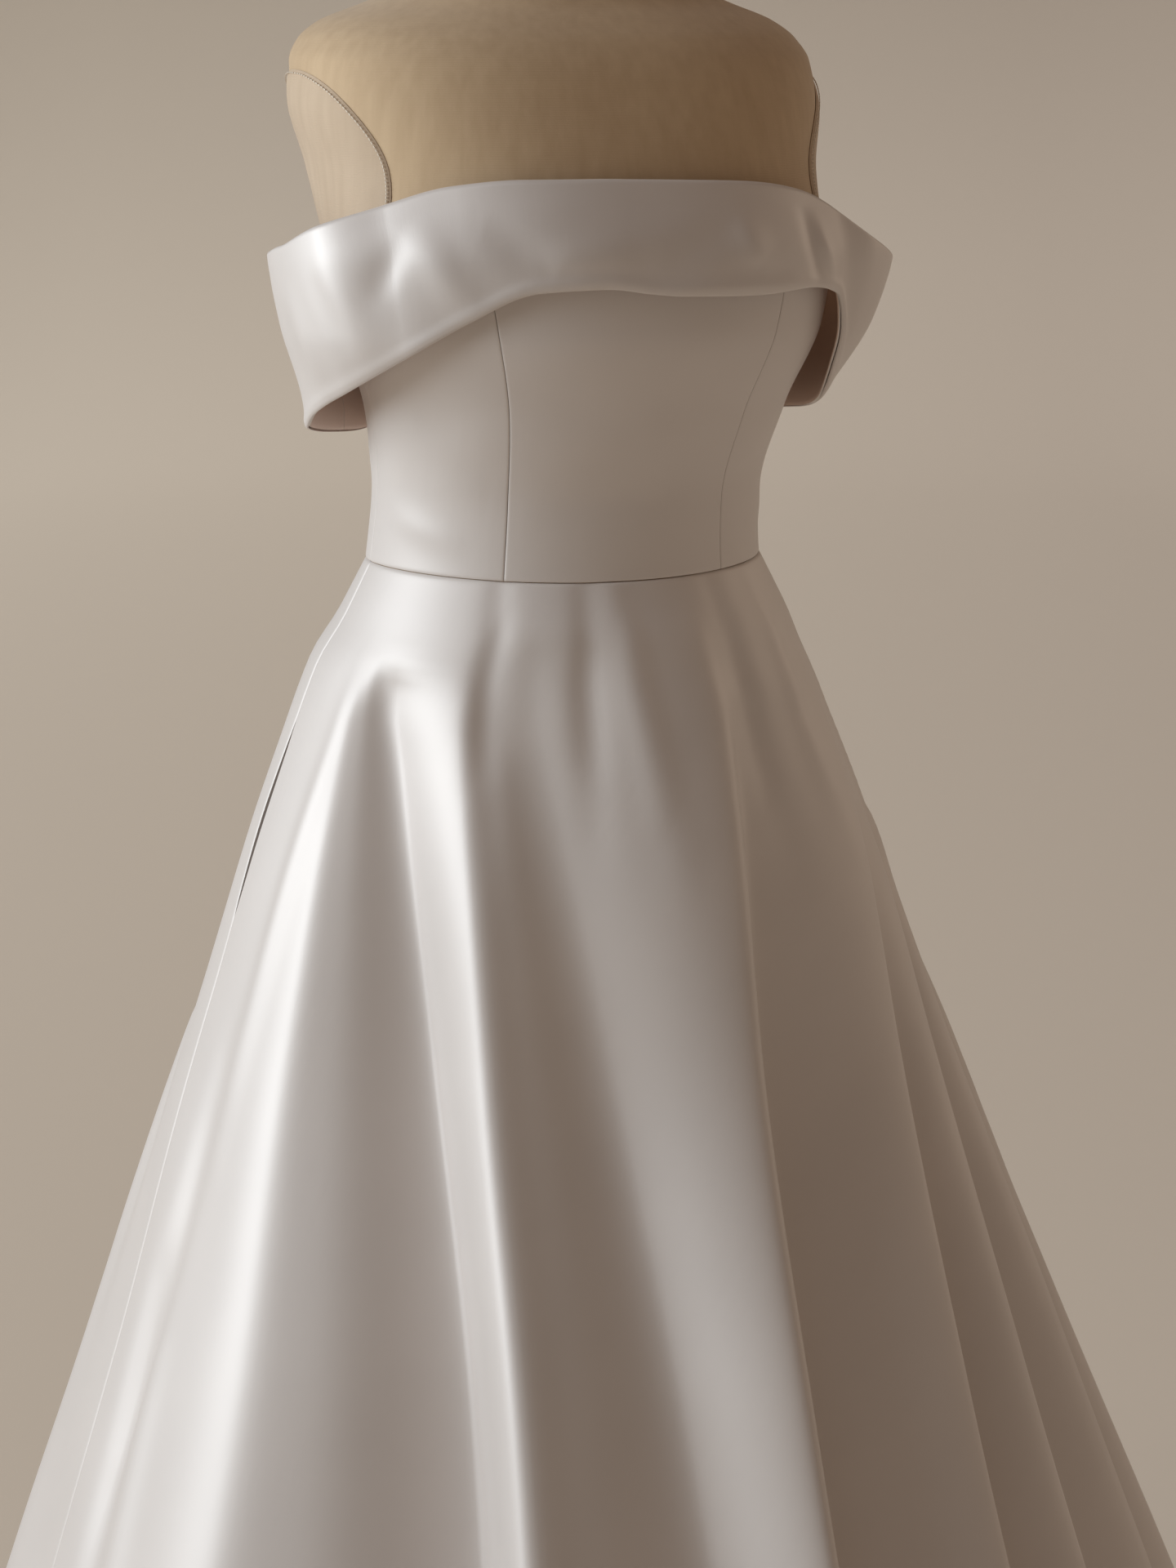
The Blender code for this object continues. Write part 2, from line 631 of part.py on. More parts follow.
def make_slider(metal):
    axis = pin_centre()
    body_middle = axis.y - PIN_STAND - SLIDER[1] / 2.0
    slider = simple_object(
        "zip_slider",
        lambda shape: bevelled_box(shape, (0.0, body_middle, axis.z - 0.001), SLIDER, 0.0004),
        metal)
    cheek_x = PULL_EYE[2] / 2.0 + 0.0003 + CHEEK_WIDTH / 2.0
    cheek_size = (CHEEK_WIDTH, PIN_STAND + PIN_RADIUS + 0.0008, 0.0026)
    joined = []
    for sign in (1.0, -1.0):
        middle = (sign * cheek_x, axis.y - (PIN_STAND - PIN_RADIUS) / 2.0, axis.z)
        joined.append(simple_object(
            f"slider cheek {sign:+.0f}",
            lambda shape, middle=middle: bevelled_box(shape, middle, cheek_size, 0.0), metal))

    def pin(shape):
        turned = Matrix.Translation(axis) @ Matrix.Rotation(math.radians(90.0), 4, "Y")
        bmesh.ops.create_cone(shape, cap_ends=True, segments=12, radius1=PIN_RADIUS,
                              radius2=PIN_RADIUS, depth=2.0 * cheek_x, matrix=turned)

    joined.append(simple_object("slider pin", pin, metal))
    unite(slider, joined)
    return slider


def make_pull(metal):
    """The pull: an eye on the slider's pin, and a drop-shaped tab that hangs from it."""
    axis = pin_centre()
    outer, hole, length = PULL_EYE
    sides = 16
    outline = []
    start = outer * 0.8
    for share in np.linspace(0.0, 1.0, 9):
        widen = math.sin(math.pi * min(1.0, 0.12 + 0.88 * share) ** 1.6) ** 0.8
        half = max(length / 2.0 * 0.8 * (1.0 - share) ** 0.5, PULL_WIDTH / 2.0 * widen)
        outline.append((half if share < 1.0 else 0.0008, -start - share * (PULL_LENGTH - start)))
    outline = outline + [(-x, z) for x, z in outline[::-1]]
    front = [(x, -PULL_THICKNESS / 2.0, z) for x, z in outline]
    back = [(x, PULL_THICKNESS / 2.0, z) for x, z in outline]
    count = len(outline)
    faces = [tuple(range(count)), tuple(range(2 * count - 1, count - 1, -1))]
    for index in range(count):
        after = (index + 1) % count
        faces.append((index, after, count + after, count + index))
    pull = add_object("zip_pull", closed_mesh("zip_pull", front + back, faces), metal)

    vertices = []
    for x in (-length / 2.0, length / 2.0):
        for radius in (outer, hole):
            for index in range(sides):
                angle = 2.0 * math.pi * index / sides
                vertices.append((x, radius * math.cos(angle), radius * math.sin(angle)))
    ring = []
    for index in range(sides):
        after = (index + 1) % sides
        near_out, near_in, far_out, far_in = (row * sides for row in range(4))
        for one, two in ((near_out, near_in), (near_in, far_in), (far_in, far_out),
                         (far_out, near_out)):
            ring.append((one + index, one + after, two + after, two + index))
    eye = add_object("pull eye", closed_mesh("pull eye", vertices, ring), metal)
    for shape in (pull, eye):
        shape.location = axis
    unite(pull, [eye])
    return pull


# ---------------------------------------------------------------- dress form
def make_torso(linen):
    heights = [row[0] for row in FIGURE]
    heights += [1.035, 1.080, 1.125, 1.175, 1.220, 1.265, 1.310]
    heights.sort()
    angles = np.linspace(-180.0, 180.0, FORM_COLUMNS + 1)[:-1]
    vertices = [form_point(angle, height) for height in heights for angle in angles]
    faces = []
    for row in range(len(heights) - 1):
        for column in range(FORM_COLUMNS):
            after = (column + 1) % FORM_COLUMNS
            low, high = row * FORM_COLUMNS, (row + 1) * FORM_COLUMNS
            faces.append((low + column, low + after, high + after, high + column))
    faces.append(tuple(range(FORM_COLUMNS)))
    faces.append(tuple(range(len(vertices) - FORM_COLUMNS, len(vertices))))
    return add_object("form_torso", closed_mesh("form_torso", vertices, faces), linen)


def make_arm_plate(side, sign, linen):
    """An oval plate that follows the form's skin, where an arm would start."""
    middle_angle, middle_height = PLATE_MIDDLE
    reach_angle, reach_height = PLATE_REACH
    sides, rings = 20, (1.0, 0.75, 0.5, 0.25)
    vertices, faces = [], []
    for lift in (PLATE_GAP, PLATE_GAP + PLATE_THICKNESS):
        for ring in rings:
            for index in range(sides):
                turn = 2.0 * math.pi * index / sides
                edge = 0.6 if lift > PLATE_GAP and ring == 1.0 else 1.0
                angle = sign * (middle_angle + ring * reach_angle * math.cos(turn))
                height = middle_height + ring * reach_height * math.sin(turn)
                vertices.append(form_point(angle, height, lift * edge))
        vertices.append(form_point(sign * middle_angle, middle_height, lift))
    layer = len(rings) * sides + 1
    for base in (0, layer):
        for ring in range(len(rings) - 1):
            for index in range(sides):
                after = (index + 1) % sides
                one, two = base + ring * sides, base + (ring + 1) * sides
                faces.append((one + index, one + after, two + after, two + index))
        last = base + (len(rings) - 1) * sides
        for index in range(sides):
            faces.append((last + index, last + (index + 1) % sides, base + layer - 1))
    for index in range(sides):
        after = (index + 1) % sides
        faces.append((index, after, layer + after, layer + index))
    name = f"form_arm_plate_{side}"
    return add_object(name, closed_mesh(name, vertices, faces), linen)


def turned_object(name, profile, segments, centre_y, squash, made_of):
    """A closed turned piece from (radius, height) pairs, bottom to top."""
    vertices, faces = [], []
    for radius, height in profile:
        for index in range(segments):
            angle = 2.0 * math.pi * index / segments
            vertices.append((radius * math.cos(angle),
                             centre_y + radius * squash * math.sin(angle), height))
    for row in range(len(profile) - 1):
        for index in range(segments):
            after = (index + 1) % segments
            low, high = row * segments, (row + 1) * segments
            faces.append((low + index, low + after, high + after, high + index))
    faces.append(tuple(range(segments)))
    faces.append(tuple(range(len(vertices) - segments, len(vertices))))
    return add_object(name, closed_mesh(name, vertices, faces), made_of)


def make_form(linen, metal, wood):
    make_torso(linen)
    for side, sign in (("left", 1.0), ("right", -1.0)):
        make_arm_plate(side, sign, linen)
    neck = smooth_row(FIGURE, FIGURE[-1][0])
    foot = FIGURE[-1][0] + SEAM
    wide = neck[0]
    centre_y = (neck[3] - neck[2]) / 2.0
    squash = (neck[3] + neck[2]) / 2.0 / wide
    turned_object("form_neck_cap",
                  [(wide, foot), (wide, foot + CAP_HEIGHT * 0.5),
                   (wide * 0.9, foot + CAP_HEIGHT * 0.85), (wide * 0.6, foot + CAP_HEIGHT)],
                  32, centre_y, squash, wood)
    turned_object("form_pole",
                  [(POLE_RADIUS, BASE_HEIGHT + SEAM), (POLE_RADIUS, FIGURE[0][0] - SEAM)],
                  24, 0.0, 1.0, metal)
    turned_object("form_base",
                  [(BASE_RADIUS, 0.0), (BASE_RADIUS, 0.010), (BASE_RADIUS - 0.006, 0.014),
                   (0.030, BASE_HEIGHT)],
                  48, 0.0, 1.0, metal)


def main():
    reset_scene()
    satin = material("ivory satin", (0.80, 0.77, 0.74), 0.35)
    pocketing = material("pocket cloth", (0.72, 0.66, 0.62), 0.7)
    tape = material("zip chain", (0.78, 0.75, 0.71), 0.5)
    linen = material("form linen", (0.36, 0.26, 0.18), 0.85)
    wood = material("dark wood", (0.10, 0.06, 0.035), 0.45)
    metal = material("bright metal", (0.70, 0.69, 0.66), 0.3, 1.0)
    black = material("black metal", (0.03, 0.03, 0.03), 0.45)
    make_bodice(satin)
    make_band(satin)
    make_skirt(satin)
    make_pocket_bag("left", pocketing)
    make_pocket_bag("right", pocketing)
    make_zip_chain(tape)
    make_slider(metal)
    make_pull(metal)
    make_form(linen, black, wood)


main()
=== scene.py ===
"""The looks of the wedding dress on its dress form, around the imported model.

Metres, +Z up. The wearer faces -Y, and the wearer's left is +X. An angle around the body is
0 at centre front and +90 degrees at the wearer's left. The garment's tables are the model's
own, and the surfaces here follow them on a finer grid, with the satin's soft creases added.
"""
import math

import bpy
import numpy as np
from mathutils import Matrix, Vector


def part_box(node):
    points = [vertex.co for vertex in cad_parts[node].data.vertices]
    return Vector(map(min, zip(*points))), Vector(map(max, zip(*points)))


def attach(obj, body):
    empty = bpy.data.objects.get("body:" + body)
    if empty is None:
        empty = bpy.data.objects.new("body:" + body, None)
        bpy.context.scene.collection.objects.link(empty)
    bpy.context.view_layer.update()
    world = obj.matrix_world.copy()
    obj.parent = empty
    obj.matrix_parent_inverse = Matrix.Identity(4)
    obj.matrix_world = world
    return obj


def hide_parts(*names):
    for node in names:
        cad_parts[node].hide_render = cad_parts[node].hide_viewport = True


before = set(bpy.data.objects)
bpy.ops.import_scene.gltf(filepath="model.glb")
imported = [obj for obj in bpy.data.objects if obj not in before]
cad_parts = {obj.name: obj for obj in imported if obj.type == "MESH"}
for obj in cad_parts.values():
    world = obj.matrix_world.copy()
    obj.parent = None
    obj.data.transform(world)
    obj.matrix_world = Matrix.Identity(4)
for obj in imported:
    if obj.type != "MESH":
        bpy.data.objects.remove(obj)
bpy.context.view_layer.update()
FINE = 1.0       # share of the full number of rows and columns

# ---------------------------------------------------------------- the garment's tables
WAIST_HEIGHT = 1.060
WAIST_DIP = 0.005
HEM_HEIGHT = 0.010
CLOTH = 0.0015
BAND_PLY = 0.0012
REST_GAP = 0.0007
BAND_FOLD = 0.0054
BAND_HEM_STEP = 0.003
BODICE_TOP_DROP = 0.010
PRINCESS_ANGLE = 34.0
SIDE_ANGLE = 94.0
BACK_SEAM_ANGLE = 143.0
BAND_SEAMS = (-57.0, 57.0, 122.0)
SWING_START = 0.080
FALL = WAIST_HEIGHT - HEM_HEIGHT

# height, half width, y of the widest line, front depth, back depth, squareness
FIGURE = (
    (0.800, 0.138, 0.006, 0.098, 0.112, 2.10),
    (0.830, 0.146, 0.005, 0.104, 0.120, 2.10),
    (0.900, 0.150, 0.004, 0.107, 0.123, 2.10),
    (0.970, 0.143, 0.000, 0.105, 0.113, 2.10),
    (1.020, 0.127, -0.002, 0.099, 0.098, 2.08),
    (1.060, 0.1180, -0.003, 0.0945, 0.0905, 2.06),
    (1.100, 0.1155, -0.010, 0.0970, 0.0880, 2.08),
    (1.150, 0.1230, -0.026, 0.115, 0.092, 2.15),
    (1.200, 0.1400, -0.036, 0.133, 0.099, 2.30),
    (1.240, 0.1470, -0.028, 0.134, 0.103, 2.40),
    (1.290, 0.1490, 0.000, 0.118, 0.108, 2.40),
    (1.330, 0.1565, 0.012, 0.101, 0.111, 2.40),
    (1.350, 0.1560, 0.020, 0.091, 0.110, 2.38),
    (1.363, 0.1500, 0.025, 0.081, 0.107, 2.32),
    (1.373, 0.1380, 0.026, 0.069, 0.101, 2.22),
    (1.384, 0.1100, 0.024, 0.055, 0.091, 2.10),
    (1.398, 0.0770, 0.019, 0.044, 0.078, 2.05),
    (1.415, 0.0620, 0.015, 0.040, 0.069, 2.00),
    (1.440, 0.0570, 0.011, 0.042, 0.064, 2.00),
    (1.470, 0.0550, 0.008, 0.045, 0.061, 2.00),
)
# How far the form's own skin lies inside that shape, by height.
EASE = (
    (0.800, 0.0030),
    (1.020, 0.0012),
    (1.056, 0.0000),
    (1.064, 0.0000),
    (1.100, 0.0020),
    (1.150, 0.0036),
    (1.270, 0.0036),
    (1.300, 0.0020),
    (1.340, 0.0000),
)
# drop below the waist, then how far the skirt stands out at the sides, front and back,
# and how far the whole ring has moved across and ahead
SKIRT = (
    (0.000, 0.000, 0.000, 0.000, 0.000, 0.000),
    (0.030, 0.015, 0.016, 0.016, 0.000, 0.001),
    (0.060, 0.030, 0.032, 0.031, -0.002, 0.0045),
    (0.110, 0.049, 0.053, 0.053, -0.002, 0.0045),
    (0.160, 0.067, 0.073, 0.074, -0.002, 0.005),
    (0.260, 0.099, 0.107, 0.109, -0.0015, 0.005),
    (0.460, 0.166, 0.178, 0.182, 0.0015, -0.010),
    (0.660, 0.236, 0.250, 0.256, 0.005, -0.022),
    (1.050, 0.376, 0.394, 0.402, 0.010, -0.034),
)
# waist angle, hem angle, start drop, depth at hem, half widths at hem to either side,
# lean of the crest
FOLDS = (
    (-70.0, -61.0, 0.060, 0.020, 12.0, 6.5, 0.0),
    (-59.0, -31.0, 0.052, -0.100, 15.0, 4.0, 0.0),
    (-40.0, -25.0, 0.050, 0.018, 3.0, 4.0, -0.2),
    (-22.0, -5.0, 0.030, -0.048, 12.0, 3.4, 0.0),
    (14.0, 0.8, 0.020, 0.034, 3.6, 3.0, 0.7),
    (25.0, 6.2, 0.070, -0.038, 3.2, 9.0, 0.0),
    (62.0, 21.5, 0.090, 0.026, 7.0, 2.8, 0.7),
    (70.0, 28.0, 0.150, -0.022, 3.0, 3.0, 0.0),
    (80.0, 35.0, 0.150, 0.026, 4.5, 3.5, 0.5),
    (83.0, 43.0, 0.180, -0.028, 4.5, 5.0, 0.0),
    (85.0, 52.0, 0.160, 0.032, 5.5, 5.0, 0.4),
    (87.0, 62.0, 0.220, -0.032, 5.5, 6.0, 0.0),
    (89.5, 73.0, 0.160, 0.034, 6.5, 6.0, -0.3),
    (92.0, 83.0, 0.220, -0.030, 5.5, 6.0, 0.0),
    (110.0, 108.0, 0.150, 0.038, 8.0, 8.0, 0.4),
    (126.0, 124.0, 0.240, -0.036, 7.5, 7.5, 0.0),
    (141.0, 141.0, 0.130, 0.040, 7.5, 7.5, 0.5),
    (158.0, 157.0, 0.200, -0.034, 7.0, 7.0, 0.0),
    (174.0, 174.0, 0.260, 0.034, 7.5, 7.5, 0.0),
    (-166.0, -166.0, 0.180, -0.034, 7.0, 7.0, 0.0),
    (-149.0, -149.0, 0.120, 0.040, 7.5, 7.5, -0.5),
    (-131.0, -132.0, 0.230, -0.034, 8.0, 8.0, 0.0),
    (-113.0, -114.0, 0.280, 0.022, 8.5, 8.5, 0.0),
)
# angle, height of the fold, height of the lower edge, and how far the outer face stands
# off the form at the fold and at the lower edge
BAND = (
    (-180.0, 1.268, 1.190, 0.0082, 0.0110),
    (-165.0, 1.267, 1.180, 0.0082, 0.0110),
    (-150.0, 1.262, 1.152, 0.0082, 0.0110),
    (-140.0, 1.257, 1.135, 0.0110, 0.0130),
    (-128.0, 1.250, 1.131, 0.0165, 0.0190),
    (-116.0, 1.244, 1.133, 0.0250, 0.0290),
    (-104.0, 1.242, 1.139, 0.0335, 0.0385),
    (-92.0, 1.247, 1.151, 0.0355, 0.0385),
    (-76.0, 1.260, 1.166, 0.0330, 0.0350),
    (-58.0, 1.2735, 1.188, 0.0130, 0.0220),
    (-40.0, 1.2835, 1.209, 0.0082, 0.0120),
    (-22.0, 1.287, 1.225, 0.0082, 0.0110),
    (-8.0, 1.287, 1.2265, 0.0082, 0.0110),
    (4.0, 1.286, 1.2215, 0.0082, 0.0110),
    (22.0, 1.284, 1.2205, 0.0082, 0.0110),
    (40.0, 1.278, 1.223, 0.0082, 0.0120),
    (53.0, 1.268, 1.218, 0.0120, 0.0150),
    (66.0, 1.248, 1.174, 0.0300, 0.0205),
    (80.0, 1.237, 1.150, 0.0420, 0.0260),
    (95.0, 1.236, 1.142, 0.0420, 0.0280),
    (112.0, 1.243, 1.139, 0.0310, 0.0240),
    (130.0, 1.252, 1.141, 0.0150, 0.0180),
    (150.0, 1.262, 1.158, 0.0082, 0.0110),
    (165.0, 1.267, 1.180, 0.0082, 0.0110),
    (180.0, 1.268, 1.190, 0.0082, 0.0110),
)
POCKET_TOP = 0.965
POCKET_BOTTOM = 0.850
POCKET_OPEN = {"right": 0.0060, "left": 0.0045}
BAG_FALLS = (0.238, 0.086)
BAG_COLUMNS = 7
BAG_FULLNESS = 0.0120
BAG_PLY = 0.0008
BAG_CLEAR = 0.0014
ZIP_HALF_WIDTH = 0.0022
ZIP_CLEAR = 0.0005
ZIP_TOP = 1.263
ZIP_BOTTOM = 0.898
BAND_BACK_GAP = 0.0070
PLATE_THICKNESS = 0.0035
PLATE_GAP = 0.0011
PLATE_MIDDLE = (92.0, 1.292)
PLATE_REACH = (33.0, 0.055)


# ---------------------------------------------------------------- curves through tables
def smooth_row(table, at):
    """The rows of a table at values of its first column, on smooth curves."""
    rows = np.array(table, dtype=float)
    keys, values = rows[:, 0], rows[:, 1:]
    at = np.clip(at, keys[0], keys[-1])
    upper = np.clip(np.searchsorted(keys, at), 1, len(keys) - 1)
    lower = upper - 1
    slopes = np.diff(values, axis=0) / np.diff(keys)[:, None]
    before, after = slopes[:-1], slopes[1:]
    total = np.where(before + after == 0.0, 1.0, before + after)
    inner = np.where(before * after > 0.0, 2.0 * before * after / total, 0.0)
    tangents = np.concatenate([slopes[:1], inner, slopes[-1:]])
    span = (keys[upper] - keys[lower])[..., None]
    part = (at - keys[lower])[..., None] / span
    return ((2 * part**3 - 3 * part**2 + 1) * values[lower]
            + (part**3 - 2 * part**2 + part) * span * tangents[lower]
            + (3 * part**2 - 2 * part**3) * values[upper]
            + (part**3 - part**2) * span * tangents[upper])


def ring_point(row, degrees):
    """Points on superellipses: x and y at angles around the body."""
    half_width, middle, front, back, squareness = np.moveaxis(np.asarray(row), -1, 0)
    side = np.sin(np.radians(degrees))
    ahead = np.cos(np.radians(degrees))
    power = 2.0 / squareness
    depth = np.where(ahead > 0.0, front + middle, back - middle)
    x = half_width * np.sign(side) * np.abs(side) ** power
    y = middle - depth * np.sign(ahead) * np.abs(ahead) ** power
    return np.stack(np.broadcast_arrays(x, y), -1)


def outward(curve, degrees):
    """Unit normals, in plan, of a closed curve given as a function of the angle."""
    ahead = curve(degrees + 0.5) - curve(degrees - 0.5)
    normal = np.stack((ahead[..., 1], -ahead[..., 0]), -1)
    return normal / np.linalg.norm(normal, axis=-1, keepdims=True)


def figure_point(degrees, height, out=0.0):
    """Points on the figure's skin, moved straight out in plan."""
    degrees, height, out = np.broadcast_arrays(degrees, height, out)
    row = smooth_row(FIGURE, height)
    plan = ring_point(row, degrees)
    plan = plan + out[..., None] * outward(lambda angle: ring_point(row, angle), degrees)
    return np.concatenate([plan, height[..., None]], -1)


def form_point(degrees, height, out=0.0):
    """Points on the form's own skin, moved straight out in plan."""
    degrees, height, out = np.broadcast_arrays(degrees, height, out)
    return figure_point(degrees, height, out - smooth_row(EASE, height)[..., 0])


def waist_height(degrees):
    return WAIST_HEIGHT - WAIST_DIP * np.maximum(0.0, np.cos(np.radians(degrees))) ** 2


def wrapped(degrees):
    return (degrees + 180.0) % 360.0 - 180.0


SWING = sorted([(hem, waist) for waist, hem, *_ in FOLDS]
               + [(seam, seam) for seam in (-180.0, -SIDE_ANGLE, SIDE_ANGLE, 180.0)])


def line_angle(line, fall):
    """Angle, at a share of the fall, of the skirt's line that meets the hem at an angle."""
    start = SWING_START / FALL
    run = np.maximum(0.0, fall - start) / (1.0 - start)
    return line + (smooth_row(SWING, line)[..., 0] - line) * (1.0 - run) ** 4


def fold_shift(line, fall):
    """How far the folds push the skirt out, and how far round, on a line of the skirt."""
    out = np.zeros(np.broadcast(line, fall).shape)
    around = np.zeros(out.shape)
    drop = fall * FALL
    for _, hem_angle, start, depth, before, after, lean in FOLDS:
        run = np.maximum(0.0, drop - start) / (FALL - start)
        away = wrapped(line - hem_angle)
        width = np.where(away < 0.0, before, after)
        reach = depth * run ** 0.6 * np.exp(-(away / width) ** 2)
        out = out + reach
        around = around + lean * reach
    return out, around


def skirt_point(line, fall, out=0.0):
    """Points on the skirt's outer face, at shares of the way from waist to hem."""
    line, fall, out = np.broadcast_arrays(line, fall, out)
    waist = smooth_row(FIGURE, np.array(WAIST_HEIGHT))
    side, front, back, across, ahead = np.moveaxis(smooth_row(SKIRT, fall * FALL), -1, 0)
    square = 2.0 + (waist[4] - 2.0) * np.maximum(0.0, 1.0 - 4.0 * fall)
    row = np.stack((waist[0] + side, np.full(fall.shape, waist[1]), waist[2] + front,
                    waist[3] + back, square), -1)

    def folded(at):
        angle = line_angle(at, fall)
        normal = outward(lambda near: ring_point(row, near), angle)
        push, around = fold_shift(at, fall)
        along = np.stack((-normal[..., 1], normal[..., 0]), -1)
        return (ring_point(row, angle) + (push + REST_GAP + CLOTH)[..., None] * normal
                + around[..., None] * along)

    plan = folded(line) + out[..., None] * outward(folded, line)
    top = waist_height(line_angle(line, np.zeros(line.shape)))
    height = top - fall * (top - HEM_HEIGHT)
    return np.stack((plan[..., 0] + across, plan[..., 1] + ahead, height), -1)


# ---------------------------------------------------------------- surface detail
def ripple(u, v, wavelength, height, seed):
    """Soft, uneven waves over a surface measured in metres both ways."""
    random = np.random.default_rng(seed)
    total = np.zeros(np.broadcast(u, v).shape)
    waves = 9
    for _ in range(waves):
        turn = random.uniform(0.0, math.pi)
        pace = 2.0 * math.pi / (wavelength * random.uniform(0.7, 1.6))
        phase = random.uniform(0.0, 2.0 * math.pi)
        total += np.sin(pace * (u * math.cos(turn) + v * math.sin(turn)) + phase)
    return height * total / math.sqrt(waves)


def strokes(table, u, v):
    """Soft ridges and troughs along short lines: start, end, half width, height."""
    total = np.zeros(np.broadcast(u, v).shape)
    for u_start, v_start, u_end, v_end, width, height in table:
        run_u, run_v = u_end - u_start, v_end - v_start
        along = ((u - u_start) * run_u + (v - v_start) * run_v) / (run_u**2 + run_v**2)
        along = np.clip(along, 0.0, 1.0)
        away = (u - u_start - along * run_u) ** 2 + (v - v_start - along * run_v) ** 2
        fade = np.sin(math.pi * (0.08 + 0.84 * along)) ** 0.7
        total += height * fade * np.exp(-away / width**2)
    return total


def edge_spread(first, last, step, close):
    """Values from first to last, one step apart, with more of them close to both ends."""
    count = max(3, int(round(abs(last - first) / step * FINE)) + 1)
    even = np.linspace(0.0, 1.0, count)
    near = np.array(close) / abs(last - first)
    even = even[(even > near[-1] * 1.2) & (even < 1.0 - near[-1] * 1.2)]
    shares = np.concatenate([near, even, 1.0 - near[::-1]])
    return first + (last - first) * shares


# ---------------------------------------------------------------- thin shells
def grid_normals(points):
    along_rows = np.gradient(points, axis=0)
    along_columns = np.gradient(points, axis=1)
    normals = np.cross(along_columns, along_rows)
    normals /= np.maximum(np.linalg.norm(normals, axis=2, keepdims=True), 1e-12)
    first = (normals[0, :, :2] * points[0, :, :2]).sum()
    return normals if first > 0.0 else -normals


def path_lengths(points, axis):
    steps = np.linalg.norm(np.diff(points, axis=axis), axis=2)
    lengths = np.cumsum(steps, axis=axis)
    pad = [(0, 0), (0, 0)]
    pad[axis] = (1, 0)
    return np.pad(lengths, pad)


def rolled(points, normals, rolls):
    """The grid with its edges turned in; rolls give (width, depth) for each edge."""
    across = path_lengths(points, 1)
    down = path_lengths(points, 0)
    distances = {"first": across, "last": across[:, -1:] - across,
                 "low": down, "high": down[-1:] - down}
    moved = points.copy()
    for edge, (width, depth) in rolls.items():
        near = np.clip(1.0 - distances[edge] / width, 0.0, 1.0)
        moved -= (depth * near**2)[..., None] * normals
    return moved


def shell(name, points, thickness, materials, rolls=None, lined_from=None):
    """A closed thin wall whose outer face is a grid of points, rows by columns.

    The second material is the inner face's, and that of the outer rows from lined_from on.
    """
    normals = grid_normals(points)
    outer = rolled(points, normals, rolls or {})
    inner = outer - thickness * normals
    rows, columns = outer.shape[:2]
    index = np.arange(rows * columns).reshape(rows, columns)
    under = index + rows * columns
    ahead = np.cross(outer[0, 1] - outer[0, 0], outer[1, 0] - outer[0, 0])
    flipped = float(ahead @ normals[0, 0]) < 0.0

    def quads(a, b, c, d):
        return np.stack([part.ravel() for part in (a, b, c, d)], 1)

    front = quads(index[:-1, :-1], index[:-1, 1:], index[1:, 1:], index[1:, :-1])
    back = quads(under[:-1, :-1], under[1:, :-1], under[1:, 1:], under[:-1, 1:])
    rims = [
        quads(index[0, 1:], index[0, :-1], under[0, :-1], under[0, 1:]),
        quads(index[-1, :-1], index[-1, 1:], under[-1, 1:], under[-1, :-1]),
        quads(index[:-1, 0], index[1:, 0], under[1:, 0], under[:-1, 0]),
        quads(index[1:, -1], index[:-1, -1], under[:-1, -1], under[1:, -1]),
    ]
    faces = np.concatenate([front, back, *rims])
    if flipped:
        faces = faces[:, ::-1]
    mesh = bpy.data.meshes.new(name)
    vertices = np.concatenate([outer.reshape(-1, 3), inner.reshape(-1, 3)])
    mesh.from_pydata(vertices.tolist(), [], faces.tolist())
    if len(materials) > 1:
        slots = np.zeros(len(faces), dtype=np.int32)
        slots[len(front):len(front) + len(back)] = 1
        if lined_from is not None:
            slots[lined_from * (columns - 1):len(front)] = 1
        mesh.polygons.foreach_set("material_index", slots)
    across = path_lengths(points, 1)
    down = path_lengths(points, 0)
    chart = np.stack((across, down), -1).reshape(-1, 2)
    chart = np.concatenate([chart, chart])
    uv = mesh.uv_layers.new(name="cloth")
    corners = np.zeros(len(mesh.loops), dtype=np.int32)
    mesh.loops.foreach_get("vertex_index", corners)
    uv.data.foreach_set("uv", chart[corners].astype(np.float32).ravel())
    return add_piece(name, mesh, materials)


def add_piece(name, mesh, materials, angle=50.0):
    for made_of in materials:
        mesh.materials.append(made_of)
    mesh.validate()
    mesh.shade_smooth()
    mesh.set_sharp_from_angle(angle=math.radians(angle))
    piece = bpy.data.objects.new(name + "_look", mesh)
    bpy.context.scene.collection.objects.link(piece)
    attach(piece, "dress_and_form")
    return piece


